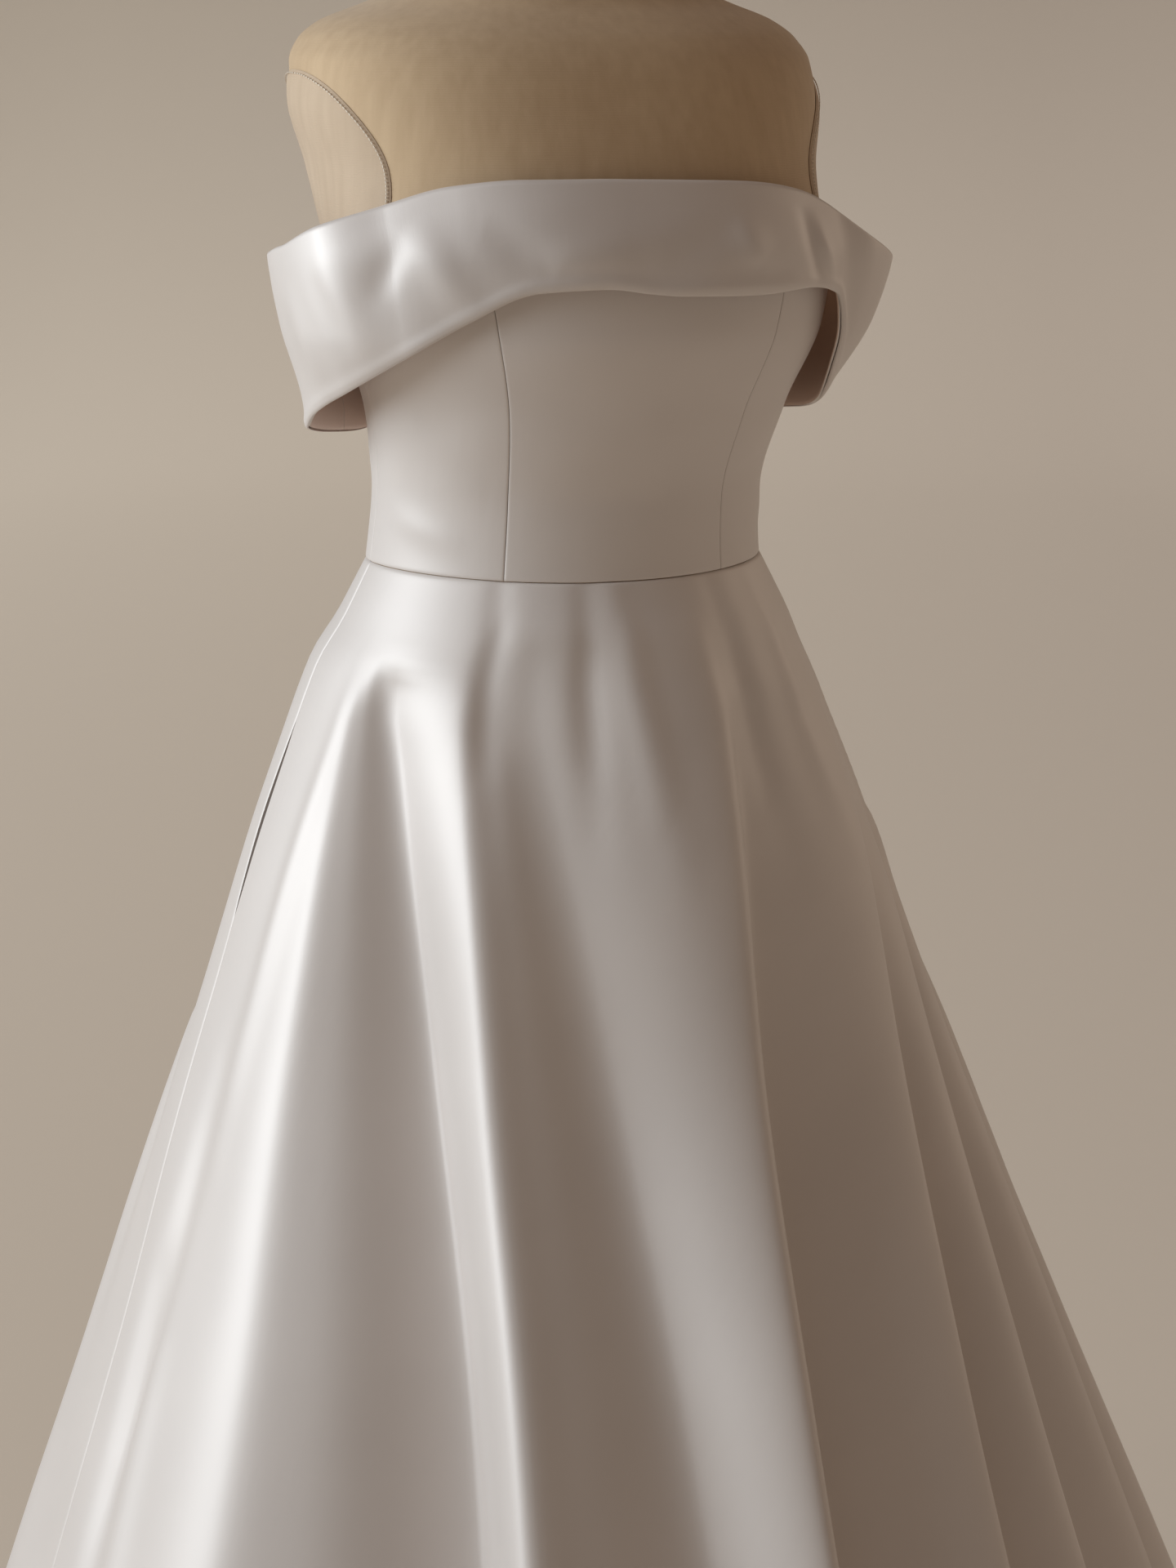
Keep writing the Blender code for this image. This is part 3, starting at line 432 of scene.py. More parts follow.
# ---------------------------------------------------------------- materials
class Nodes:
    """A material's node tree, with short ways to add to it."""

    def __init__(self, name):
        self.material = bpy.data.materials.new(name)
        self.material.use_nodes = True
        self.tree = self.material.node_tree
        self.shader = self.tree.nodes["Principled BSDF"]

    def add(self, kind, **values):
        node = self.tree.nodes.new(kind)
        for key, value in values.items():
            if key in node.inputs:
                node.inputs[key].default_value = value
            else:
                setattr(node, key, value)
        return node

    def link(self, source, target):
        self.tree.links.new(source, target)

    def mapped(self, scale, use_chart=True):
        """Coordinates in metres times a scale: the cloth's own, or the object's."""
        mapping = self.add("ShaderNodeMapping")
        mapping.inputs["Scale"].default_value = scale
        if use_chart:
            chart = self.add("ShaderNodeUVMap")
            chart.uv_map = "cloth"
            self.link(chart.outputs[0], mapping.inputs["Vector"])
        else:
            place = self.add("ShaderNodeTexCoord")
            self.link(place.outputs["Object"], mapping.inputs["Vector"])
        return mapping.outputs[0]

    def noise(self, vector, scale, detail=2.0):
        node = self.add("ShaderNodeTexNoise")
        node.inputs["Scale"].default_value = scale
        node.inputs["Detail"].default_value = detail
        self.link(vector, node.inputs["Vector"])
        return node.outputs[0]

    def ramp(self, source, stops):
        node = self.add("ShaderNodeValToRGB")
        ramp = node.color_ramp
        while len(ramp.elements) < len(stops):
            ramp.elements.new(0.5)
        for element, (position, colour) in zip(ramp.elements, stops):
            element.position = position
            element.color = (*colour, 1.0)
        self.link(source, node.inputs[0])
        return node.outputs[0]

    def bump(self, source, distance, strength=1.0, below=None):
        node = self.add("ShaderNodeBump")
        node.inputs["Distance"].default_value = distance
        node.inputs["Strength"].default_value = strength
        self.link(source, node.inputs["Height"])
        if below is not None:
            self.link(below, node.inputs["Normal"])
        return node.outputs[0]

    def set(self, **values):
        for key, value in values.items():
            self.shader.inputs[key.replace("_", " ")].default_value = value


def satin_material(name, colour, roughness, sheen):
    made = Nodes(name)
    made.set(Roughness=roughness, IOR=1.5, Anisotropic=0.35, Metallic=0.20)
    made.shader.inputs["Sheen Weight"].default_value = sheen
    made.shader.inputs["Sheen Roughness"].default_value = 0.35
    made.shader.inputs["Specular IOR Level"].default_value = 0.6
    cloth = made.mapped((1.0, 1.0, 1.0))
    patches = made.noise(cloth, 7.0, 3.0)
    light = tuple(min(1.0, part * 1.015) for part in colour)
    dark = tuple(part * 0.975 for part in colour)
    made.link(made.ramp(patches, [(0.35, dark), (0.65, light)]), made.shader.inputs["Base Color"])
    floats = made.noise(made.mapped((2600.0, 90.0, 1.0)), 1.0, 1.0)
    slubs = made.noise(made.mapped((160.0, 9.0, 1.0)), 1.0, 2.0)
    under = made.bump(floats, 0.00005, 0.5)
    made.link(made.bump(slubs, 0.00012, 0.35, under), made.shader.inputs["Normal"])
    tangent = made.add("ShaderNodeTangent")
    tangent.direction_type = "UV_MAP"
    tangent.uv_map = "cloth"
    made.link(tangent.outputs[0], made.shader.inputs["Tangent"])
    return made.material


def linen_material(name, light, dark):
    made = Nodes(name)
    made.set(Roughness=0.82)
    made.shader.inputs["Sheen Weight"].default_value = 0.25
    made.shader.inputs["Sheen Roughness"].default_value = 0.5
    place = made.mapped((1.0, 1.0, 1.0), use_chart=False)
    patches = made.noise(place, 9.0, 4.0)
    streaks = made.noise(made.mapped((140.0, 140.0, 14.0), use_chart=False), 1.0, 3.0)
    mix = made.add("ShaderNodeMix", data_type="FLOAT")
    mix.inputs[0].default_value = 0.45
    made.link(patches, mix.inputs[2])
    made.link(streaks, mix.inputs[3])
    made.link(made.ramp(mix.outputs[0], [(0.34, dark), (0.66, light)]),
              made.shader.inputs["Base Color"])
    knit = made.add("ShaderNodeTexWave", wave_type="BANDS", bands_direction="Z")
    knit.inputs["Scale"].default_value = 320.0
    knit.inputs["Distortion"].default_value = 1.5
    made.link(place, knit.inputs["Vector"])
    across = made.noise(made.mapped((1400.0, 1400.0, 1400.0), use_chart=False), 1.0, 1.0)
    under = made.bump(knit.outputs[1], 0.0001, 0.35)
    made.link(made.bump(across, 0.00012, 0.4, under), made.shader.inputs["Normal"])
    return made.material


def plain_material(name, colour, roughness, metallic=0.0, speck=0.0):
    made = Nodes(name)
    made.set(Roughness=roughness, Metallic=metallic)
    place = made.mapped((1.0, 1.0, 1.0), use_chart=False)
    grain = made.noise(place, 60.0, 4.0)
    light = tuple(min(1.0, part * (1.0 + speck)) for part in colour)
    dark = tuple(part * (1.0 - speck) for part in colour)
    made.link(made.ramp(grain, [(0.3, dark), (0.7, light)]), made.shader.inputs["Base Color"])
    made.link(made.bump(made.noise(place, 900.0, 2.0), 0.00005, 0.2),
              made.shader.inputs["Normal"])
    return made.material


def wood_material(name):
    made = Nodes(name)
    made.set(Roughness=0.38)
    grain = made.add("ShaderNodeTexWave", wave_type="BANDS", bands_direction="X")
    grain.inputs["Scale"].default_value = 22.0
    grain.inputs["Distortion"].default_value = 6.0
    grain.inputs["Detail"].default_value = 3.0
    made.link(made.mapped((1.0, 1.0, 4.0), use_chart=False), grain.inputs["Vector"])
    made.link(made.ramp(grain.outputs[1], [(0.2, (0.055, 0.030, 0.016)),
                                          (0.8, (0.125, 0.072, 0.040))]),
              made.shader.inputs["Base Color"])
    made.link(made.bump(grain.outputs[1], 0.0001, 0.3), made.shader.inputs["Normal"])
    return made.material


SATIN = satin_material("satin", (0.75, 0.698, 0.668), 0.50, 0.10)
# The satin's matt back, for inner faces and the band's inner ply: its darker, warmer colour is painted
# shade for the insides of the loops and slits.
SATIN_BACK_PAINTED_SHADE = satin_material("satin_back_painted_shade", (0.66, 0.50, 0.42), 0.55, 0.10)
# The pocket bags' cloth: a pinkish pocketing whose darker, browner colour is partly its own and partly
# painted shade for the inside of the slits.
POCKETING_PAINTED_SHADE = satin_material("pocketing_painted_shade", (0.70, 0.52, 0.45), 0.60, 0.10)
LINEN = linen_material("form_cloth", (0.60, 0.44, 0.275), (0.50, 0.35, 0.21))
PLATE_CLOTH = linen_material("plate_cloth", (0.60, 0.465, 0.335), (0.52, 0.39, 0.27))
THREAD = plain_material("thread", (0.66, 0.58, 0.48), 0.6, 0.0, 0.06)
TAPE = plain_material("zip_tape", (0.70, 0.67, 0.63), 0.55, 0.0, 0.04)
TEETH = plain_material("zip_teeth", (0.74, 0.71, 0.67), 0.35, 0.0, 0.03)
STEEL = plain_material("bright_metal", (0.62, 0.60, 0.57), 0.28, 1.0, 0.05)
BLACK = plain_material("black_metal", (0.020, 0.020, 0.021), 0.42, 0.0, 0.25)
WOOD = wood_material("dark_wood")

# ---------------------------------------------------------------- bodice
# creases: start (around, height), end, half width, height; around is metres from centre front
BODICE_CREASES = (
    (-0.100, 1.178, -0.010, 1.150, 0.016, -0.0011),
    (-0.062, 1.128, 0.040, 1.136, 0.014, 0.0009),
    (-0.050, 1.098, 0.030, 1.104, 0.011, -0.0007),
    (0.020, 1.170, 0.085, 1.188, 0.013, -0.0009),
    (-0.150, 1.115, -0.098, 1.105, 0.012, 0.0010),
    (-0.165, 1.150, -0.120, 1.142, 0.011, -0.0011),
    (-0.190, 1.090, -0.125, 1.078, 0.008, 0.0008),
    (0.100, 1.112, 0.160, 1.120, 0.012, -0.0009),
    (0.130, 1.083, 0.180, 1.092, 0.009, 0.0008),
    (-0.300, 1.130, -0.250, 1.118, 0.012, 0.0009),
    (0.290, 1.104, 0.350, 1.096, 0.010, -0.0008),
    (-0.400, 1.088, -0.350, 1.094, 0.009, -0.0007),
)
CLOSE_DEGREES = (0.0, 0.12, 0.3, 0.6, 1.0, 1.6)


def bodice_panel(name, first, last):
    angles = edge_spread(first, last, 1.1, CLOSE_DEGREES)[None, :]
    shares = edge_spread(0.0, 1.0, 0.018, (0.0, 0.0025, 0.006, 0.012, 0.02))[:, None]
    low = waist_height(angles) + 0.00015
    high = smooth_row(BAND, wrapped(angles))[..., 0] - BODICE_TOP_DROP
    height = low + (high - low) * shares
    u = np.radians(angles) * 0.14
    out = REST_GAP + CLOTH + ripple(u, height, 0.11, 0.00018, 7)
    out = out + strokes(BODICE_CREASES, u, height)
    points = figure_point(angles, height, out)
    points = drawn_in(points, bodice_gap(first), bodice_gap(last))
    piece = shell(name, points, CLOTH * 0.9, (SATIN, SATIN_BACK_PAINTED_SHADE),
                  {"first": (0.0012, 0.0003), "last": (0.0012, 0.0003),
                   "low": (0.0013, 0.0004), "high": (0.0015, 0.0004)})
    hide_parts(name)
    return piece


def bodice_gap(angle):
    return ZIP_HALF_WIDTH + ZIP_CLEAR if abs(angle) == 180.0 else 0.00015


def drawn_in(grid, first_gap, last_gap):
    """The same grid with the columns near each end moved in, level, by half a seam's gap."""
    moved = grid.copy()
    for end, beside, gap in ((0, 6, first_gap), (-1, -7, last_gap)):
        inward = grid[:, beside] - grid[:, end]
        inward[:, 2] = 0.0
        reach = np.linalg.norm(inward, axis=1)
        inward /= reach[:, None]
        gap = np.broadcast_to(gap, reach.shape)
        distance = np.linalg.norm(grid - grid[:, end][:, None, :], axis=2)
        fade = np.clip(1.0 - distance / np.maximum(reach, 2.0 * gap)[:, None], 0.0, 1.0)
        moved += (gap[:, None] * fade)[..., None] * inward[:, None, :]
    return moved


def make_bodice():
    bodice_panel("bodice_front_centre", -PRINCESS_ANGLE, PRINCESS_ANGLE)
    for side, sign in (("left", 1.0), ("right", -1.0)):
        a, b, c, d = (sign * angle for angle in
                      (PRINCESS_ANGLE, SIDE_ANGLE, BACK_SEAM_ANGLE, 180.0))
        bodice_panel(f"bodice_side_front_{side}", a, b)
        bodice_panel(f"bodice_side_back_{side}", b, c)
        bodice_panel(f"bodice_back_{side}", c, d)


# ---------------------------------------------------------------- band
BAND_CREASES = (
    (-0.186, 1.222, -0.158, 1.258, 0.010, -0.0020),
    (-0.150, 1.264, -0.112, 1.212, 0.015, 0.0024),
    (-0.098, 1.262, -0.052, 1.236, 0.013, -0.0016),
    (-0.060, 1.240, -0.006, 1.252, 0.012, 0.0013),
    (0.000, 1.240, 0.050, 1.262, 0.012, -0.0015),
    (0.048, 1.266, 0.066, 1.240, 0.011, 0.0022),
    (0.010, 1.2265, 0.096, 1.2275, 0.0050, 0.0012),
    (0.108, 1.272, 0.122, 1.228, 0.0065, -0.0026),
    (0.122, 1.270, 0.140, 1.228, 0.0070, 0.0020),
    (-0.262, 1.226, -0.240, 1.170, 0.012, 0.0020),
    (-0.225, 1.236, -0.208, 1.186, 0.010, -0.0018),
    (0.245, 1.220, 0.262, 1.165, 0.012, 0.0018),
    (0.390, 1.236, 0.420, 1.196, 0.012, -0.0016),
    (-0.400, 1.240, -0.430, 1.200, 0.012, 0.0016),
)
BAND_EDGE = (0.0042, 0.0034, 0.0008)     # where the lower edge swells, how wide, how far


def band_grid(first, last):
    """The band's outside: up the outer ply, over the fold and down the inner ply."""
    angles = edge_spread(first, last, 1.0, CLOSE_DEGREES)[None, :]
    top, bottom, top_clear, bottom_clear = np.moveaxis(
        smooth_row(BAND, wrapped(angles)), -1, 0)
    radius = BAND_FOLD / 2.0
    shoulder = top - radius
    rows = []
    outer_shares = edge_spread(0.0, 1.0, 0.028, (0.0, 0.006, 0.014, 0.025, 0.04))
    for share in outer_shares:
        height = bottom + (shoulder - bottom) * share
        clear = bottom_clear + (top_clear - bottom_clear) * share
        u = np.radians(angles) * 0.165
        crease = ripple(u, height, 0.085, 0.00035, 3) + strokes(BAND_CREASES, u, height)
        crease = crease * math.sin(math.pi * min(0.999, share + 0.12)) ** 0.5
        crease = crease + BAND_EDGE[2] * np.exp(-((height - bottom - BAND_EDGE[0]) / BAND_EDGE[1]) ** 2)
        rows.append((height, clear + crease))
    for turn in np.linspace(0.0, 180.0, 12)[1:-1]:
        rise = radius * math.sin(math.radians(turn))
        back = radius * (1.0 - math.cos(math.radians(turn)))
        rows.append((shoulder + rise, top_clear - back))
    for share in edge_spread(1.0, 0.0, 0.05, (0.0, 0.01, 0.025)):
        height = bottom + BAND_HEM_STEP * 0.4 + (shoulder - bottom - BAND_HEM_STEP * 0.4) * share
        clear = bottom_clear + (top_clear - bottom_clear) * share
        close = 0.0022 * max(0.0, 1.0 - share / 0.16) ** 2
        rows.append((height, clear - BAND_FOLD + close))
    turned_over = len(outer_shares) + 10
    grid = np.stack([figure_point(angles[0], height[0], clear[0]) for height, clear in rows])
    return grid, turned_over


def band_piece(name, first, last, first_gap, last_gap):
    points, turned_over = band_grid(first, last)
    points = drawn_in(points, first_gap, last_gap)
    rolls = {"low": (0.0016, 0.0007), "high": (0.0016, 0.0005)}
    if abs(last) == 180.0:
        rolls["last"] = (0.0020, 0.0008)
    # The inner ply, from the fold down, takes the satin's back colour, which carries painted shade.
    piece = shell(name, points, BAND_PLY * 0.8, (SATIN, SATIN_BACK_PAINTED_SHADE), rolls, turned_over)
    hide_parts(name)
    return piece


def make_band():
    right_seam, left_seam, back_seam = BAND_SEAMS
    band_piece("band_front", right_seam, left_seam, 0.0, 0.0)
    for side, sign in (("left", 1.0), ("right", -1.0)):
        band_piece(f"band_sleeve_{side}", sign * left_seam, sign * back_seam, 0.0, 0.00015)
        band_piece(f"band_back_{side}", sign * back_seam, sign * 180.0, 0.00015, BAND_BACK_GAP)


# ---------------------------------------------------------------- skirt
def slit_gap(side, height):
    """Half the gap at a side seam: a seam's own, or more along the pocket's slit."""
    share = np.clip((height - POCKET_BOTTOM) / (POCKET_TOP - POCKET_BOTTOM), 0.0, 1.0)
    return 0.00015 + POCKET_OPEN[side] / 2.0 * np.sin(math.pi * share) ** 0.6


def zip_gap(height):
    return np.where(height > ZIP_BOTTOM - 0.005, ZIP_HALF_WIDTH + ZIP_CLEAR, 0.00015)


def skirt_columns(first, last, step):
    """Lines for the columns of a panel, evenly spaced between waist and hem."""
    lines = np.linspace(-180.0, 180.0, 1441)
    middles = (lines + smooth_row(SWING, lines)[..., 0]) / 2.0
    close = (0.0, 0.05, 0.12, 0.25, 0.45, 0.75, 1.2)
    return np.interp(edge_spread(first, last, step, close), middles, lines)


# start (angle, per cent of the fall), end, half width, height
SKIRT_CREASES = (
    (-35.0, 2.0, -33.0, 11.0, 4.0, -0.0034),
    (-11.0, 2.0, -12.0, 11.0, 3.4, -0.0030),
    (-3.0, 2.0, 1.0, 13.0, 3.6, 0.0028),
    (27.0, 3.0, 29.0, 13.0, 4.0, -0.0030),
    (46.0, 3.0, 47.0, 14.0, 4.0, 0.0026),
    (-81.0, 29.0, -85.0, 50.0, 3.0, -0.0060),
    (-72.0, 9.0, -76.0, 30.0, 3.0, 0.0040),
    (-86.0, 40.0, -82.0, 70.0, 2.2, -0.0050),
    (-79.0, 44.0, -76.0, 72.0, 2.4, 0.0045),
    (74.0, 9.0, 78.0, 34.0, 3.4, 0.0050),
    (86.0, 29.0, 87.0, 48.0, 2.6, -0.0050),
    (152.0, 4.0, 150.0, 16.0, 4.0, -0.0030),
    (-148.0, 3.0, -150.0, 15.0, 4.0, 0.0028),
    (-112.0, 12.0, -108.0, 44.0, 3.4, -0.0050),
    (118.0, 10.0, 114.0, 40.0, 3.4, 0.0046),
)


def skirt_panel(name, first, last, first_gap, last_gap):
    lines = skirt_columns(first, last, 0.85)[None, :]
    falls = edge_spread(0.0, 1.0, 0.0072, (0.0, 0.0005, 0.0012, 0.0022, 0.0036))[:, None]
    angle = line_angle(lines, falls)
    height = WAIST_HEIGHT - falls * FALL
    u = np.radians(angle) * (0.12 + 0.38 * falls)
    soft = np.minimum(1.0, falls / 0.06)
    out = soft * ripple(u, height * 0.35, 0.16, 0.0006, 11)
    out = out + strokes(SKIRT_CREASES, wrapped(angle), falls * 100.0)
    points = skirt_point(lines, falls, out)
    points = drawn_in(points, first_gap(height[:, 0]), last_gap(height[:, 0]))
    piece = shell(name, points, CLOTH, (SATIN, SATIN_BACK_PAINTED_SHADE),
                  {"first": (0.0020, 0.0006), "last": (0.0020, 0.0006),
                   "low": (0.0024, 0.0009), "high": (0.0012, 0.0003)})
    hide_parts(name)
    return piece


def make_skirt():
    skirt_panel("skirt_front", -SIDE_ANGLE, SIDE_ANGLE,
                lambda height: slit_gap("right", height),
                lambda height: slit_gap("left", height))
    for side, sign in (("left", 1.0), ("right", -1.0)):
        skirt_panel(f"skirt_back_{side}", sign * SIDE_ANGLE, sign * 180.0,
                    lambda height, side=side: slit_gap(side, height), zip_gap)


def make_pocket_bag(side, sign):
    """Two plies inside the skirt, folded at their front end and open at the slit."""
    near = -(CLOTH + BAG_CLEAR)
    step = 3.9
    middle = SIDE_ANGLE - step * np.linspace(0.4, BAG_COLUMNS, 26)
    lines = np.linspace(-180.0, 180.0, 1441)
    middles = (lines + smooth_row(SWING, lines)[..., 0]) / 2.0
    columns = np.interp(sign * middle, middles, lines)
    rows = []
    for share in np.linspace(0.0, 1.0, 30):
        fall = BAG_FALLS[0] + (BAG_FALLS[1] - BAG_FALLS[0]) * share
        belly = math.sin(math.pi * share) ** 0.7 * (1.15 - share)
        full = 2.0 * BAG_PLY + 0.0003 + BAG_FULLNESS * belly
        tilt = (columns - columns[-1]) / (columns[0] - columns[-1])
        bottom_round = 0.35 * max(0.0, 1.0 - share / 0.25) ** 2
        line = columns + (columns[0] - columns[-1]) * bottom_round * (1.0 - tilt)
        path = [*skirt_point(line, np.full(line.shape, fall), np.full(line.shape, near))]
        end = line[-1]
        for turn in np.linspace(0.0, 180.0, 8)[1:-1]:
            across = near - full / 2.0 * (1.0 - math.cos(math.radians(turn)))
            along = full / 2.0 * math.sin(math.radians(turn)) / 0.0042
            path.append(skirt_point(np.array(end - sign * along), np.array(fall),
                                    np.array(across)))
        back = line[::-1]
        path += [*skirt_point(back, np.full(back.shape, fall), np.full(back.shape, near - full))]
        rows.append(path)
    points = np.array(rows)
    name = f"pocket_bag_{side}"
    piece = shell(name, points, BAG_PLY, (POCKETING_PAINTED_SHADE,))
    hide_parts(name)
    return piece


# ---------------------------------------------------------------- zip
def back_point(height, out):
    """A point at centre back on the cloth's outer face, moved out."""
    if height >= WAIST_HEIGHT:
        return figure_point(180.0, height, REST_GAP + CLOTH + out)
    return skirt_point(180.0, (WAIST_HEIGHT - height) / FALL, out)


def block(vertices, faces, corner, steps):
    """Adds a box from a corner and three edge vectors."""
    base = len(vertices)
    for third in (0, 1):
        for second in (0, 1):
            for first in (0, 1):
                vertices.append(corner + first * steps[0] + second * steps[1]
                                + third * steps[2])
    for a, b, c, d in ((0, 2, 3, 1), (4, 5, 7, 6), (0, 1, 5, 4), (2, 6, 7, 3), (0, 4, 6, 2),
                       (1, 3, 7, 5)):
        faces.append((base + a, base + b, base + c, base + d))


def make_zip():
    """The closed chain: a narrow tape with the teeth of both sides meshed along it."""
    heights = np.linspace(ZIP_BOTTOM, ZIP_TOP, 120)
    tape = []
    for height in heights:
        middle = back_point(height, -0.0006)
        tape.append([middle + np.array((x, 0.0, 0.0))
                     for x in np.linspace(ZIP_HALF_WIDTH, -ZIP_HALF_WIDTH, 5)])
    chain = shell("zip_chain", np.array(tape), 0.0007, (TAPE,))
    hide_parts("zip_chain")
    vertices, faces = [], []
    pitch = 0.0011
    count = int((ZIP_TOP - ZIP_BOTTOM - 0.004) / pitch)
    for number in range(count):
        height = ZIP_BOTTOM + 0.002 + number * pitch
        here = back_point(height, -0.0006)
        above = back_point(height + pitch, -0.0006)
        up = (above - here) / np.linalg.norm(above - here)
        side = np.array((1.0, 0.0, 0.0))
        out = np.cross(side, up)
        if out[1] < 0.0:
            out = -out
        shift = 0.00035 if number % 2 else -0.00035
        corner = here + (shift - 0.0011) * side - 0.0002 * out
        block(vertices, faces, corner, (0.0022 * side, 0.00062 * up, 0.0007 * out))
    mesh = bpy.data.meshes.new("zip_teeth")
    mesh.from_pydata([tuple(point) for point in vertices], [], faces)
    teeth = add_piece("zip_teeth", mesh, (TEETH,), 30.0)
    for node in ("zip_slider", "zip_pull"):
        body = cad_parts[node]
        for place in body.material_slots:
            place.material = STEEL


# ---------------------------------------------------------------- dress form
def closed_rings(name, rings, materials, angle=50.0):
    """A closed piece from rings of points, bottom to top."""
    rows, columns = len(rings), len(rings[0])
    vertices = [tuple(point) for ring in rings for point in ring]
    faces = []
    for row in range(rows - 1):
        for column in range(columns):
            after = (column + 1) % columns
            low, high = row * columns, (row + 1) * columns
            faces.append((low + column, low + after, high + after, high + column))
    faces.append(tuple(range(columns))[::-1])
    faces.append(tuple(range((rows - 1) * columns, rows * columns)))
    mesh = bpy.data.meshes.new(name)
    mesh.from_pydata(vertices, [], faces)
    return add_piece(name, mesh, materials, angle)


def make_torso():
    heights = np.concatenate([np.linspace(0.8, 1.33, int(70 * FINE)),
                              np.linspace(1.332, 1.47, int(70 * FINE))])
    angles = np.linspace(-180.0, 180.0, int(220 * FINE) + 1)[:-1]
    rings = [form_point(angles, np.full(angles.shape, height)) for height in heights]
    torso = closed_rings("form_torso", rings, (LINEN,))
    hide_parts("form_torso")


def plate_point(sign, ring, turn, lift):
    middle_angle, middle_height = PLATE_MIDDLE
    reach_angle, reach_height = PLATE_REACH
    angle = sign * (middle_angle + ring * reach_angle * np.cos(turn))
    height = middle_height + ring * reach_height * np.sin(turn)
    return form_point(angle, height, lift)


def make_arm_plate(side, sign):
    """An oval plate under the form's cloth, with the row of stitches round its edge."""
    turns = np.linspace(0.0, 2.0 * math.pi, int(90 * FINE) + 1)[:-1]
    profile = [(0.97, -0.0004), (0.975, -0.0001), (0.965, 0.0003)]
    profile += [(ring, PLATE_THICKNESS * 1.2 * (1.0 - (ring / 0.97) ** 2) ** 0.62 + 0.0003)
                for ring in (0.95, 0.92, 0.88, 0.83, 0.77, 0.70, 0.61, 0.5, 0.38, 0.25, 0.1)]
    rings = [plate_point(sign, ring, turns, PLATE_GAP * 0.5)
             for ring in (0.1, 0.4, 0.7, 0.93)]
    rings += [plate_point(sign, ring, turns, PLATE_GAP * 0.5 + lift) for ring, lift in profile]
    name = f"form_arm_plate_{side}"
    rings = rings if sign < 0.0 else [ring[::-1] for ring in rings]
    plate = closed_rings(name, rings, (PLATE_CLOTH,), 60.0)
    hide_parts(name)
    vertices, faces = [], []
    edge = 0.945
    count = 150
    for number in range(count):
        start, end = ((number + part) * 2.0 * math.pi / count for part in (0.12, 0.78))
        a = plate_point(sign, edge, np.array(start), PLATE_GAP * 0.5 + 0.0016)
        b = plate_point(sign, edge, np.array(end), PLATE_GAP * 0.5 + 0.0016)
        c = plate_point(sign, edge, np.array(start), PLATE_GAP * 0.5 + 0.0024)
        along = b - a
        out = c - a
        across = np.cross(along, out)
        across *= 0.0006 / np.linalg.norm(across)
        block(vertices, faces, a - across / 2.0, (along, across, out * 0.7))
    mesh = bpy.data.meshes.new(f"form_stitches_{side}")
    mesh.from_pydata([tuple(point) for point in vertices], [], faces)
    stitches = add_piece(f"form_stitches_{side}", mesh, (THREAD,), 60.0)


def turned(name, profile, centre_y, squash, materials, segments=96):
    """A closed turned piece from (radius, height) pairs, bottom to top."""
    turns = np.linspace(0.0, 2.0 * math.pi, segments + 1)[:-1]
    rings = []
    for radius, height in profile:
        rings.append(np.stack([radius * np.cos(turns), centre_y + radius * squash * np.sin(turns),
                               np.full(turns.shape, height)], -1))
    return closed_rings(name, rings, materials, 45.0)


def rounded(corner, radius, first, last, steps=6):
    """Points of a quarter turn about a corner's centre, as (radius, height) pairs."""
    points = []
    for angle in np.linspace(math.radians(first), math.radians(last), steps):
        points.append((corner[0] + radius * math.cos(angle),
                       corner[1] + radius * math.sin(angle)))
    return points


def make_stand():
    low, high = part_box("form_neck_cap")
    centre = (low + high) / 2.0
    wide = (high.x - low.x) / 2.0
    squash = (high.y - low.y) / (high.x - low.x)
    edge = 0.0018
    rise = high.z - low.z
    profile = rounded((wide - edge, low.z + edge), edge, -90.0, 0.0)
    profile += rounded((wide - 0.006, low.z + 0.0055), 0.006, 0.0, 80.0)
    profile += [(wide * share, high.z - (rise - 0.0115) * share**2 - 0.0002)
                for share in (0.75, 0.6, 0.45, 0.3, 0.15)]
    cap = turned("form_neck_cap", profile, centre.y, squash, (WOOD,))
    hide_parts("form_neck_cap")
    low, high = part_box("form_base")
    wide = (high.x - low.x) / 2.0
    profile = [(wide - 0.001, low.z), (wide, low.z + 0.001)]
    profile += rounded((wide - 0.004, low.z + 0.0075), 0.004, 0.0, 80.0)
    profile += [(wide * share, high.z - 0.009 * share**1.4) for share in
                (0.93, 0.85, 0.75, 0.62, 0.5, 0.38, 0.28, 0.2)]
    profile += [(0.030, high.z - 0.0005), (0.026, high.z)]
    base = turned("form_base", profile, 0.0, 1.0, (BLACK,))
    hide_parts("form_base")
    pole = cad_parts["form_pole"]
    for place in pole.material_slots:
        place.material = BLACK


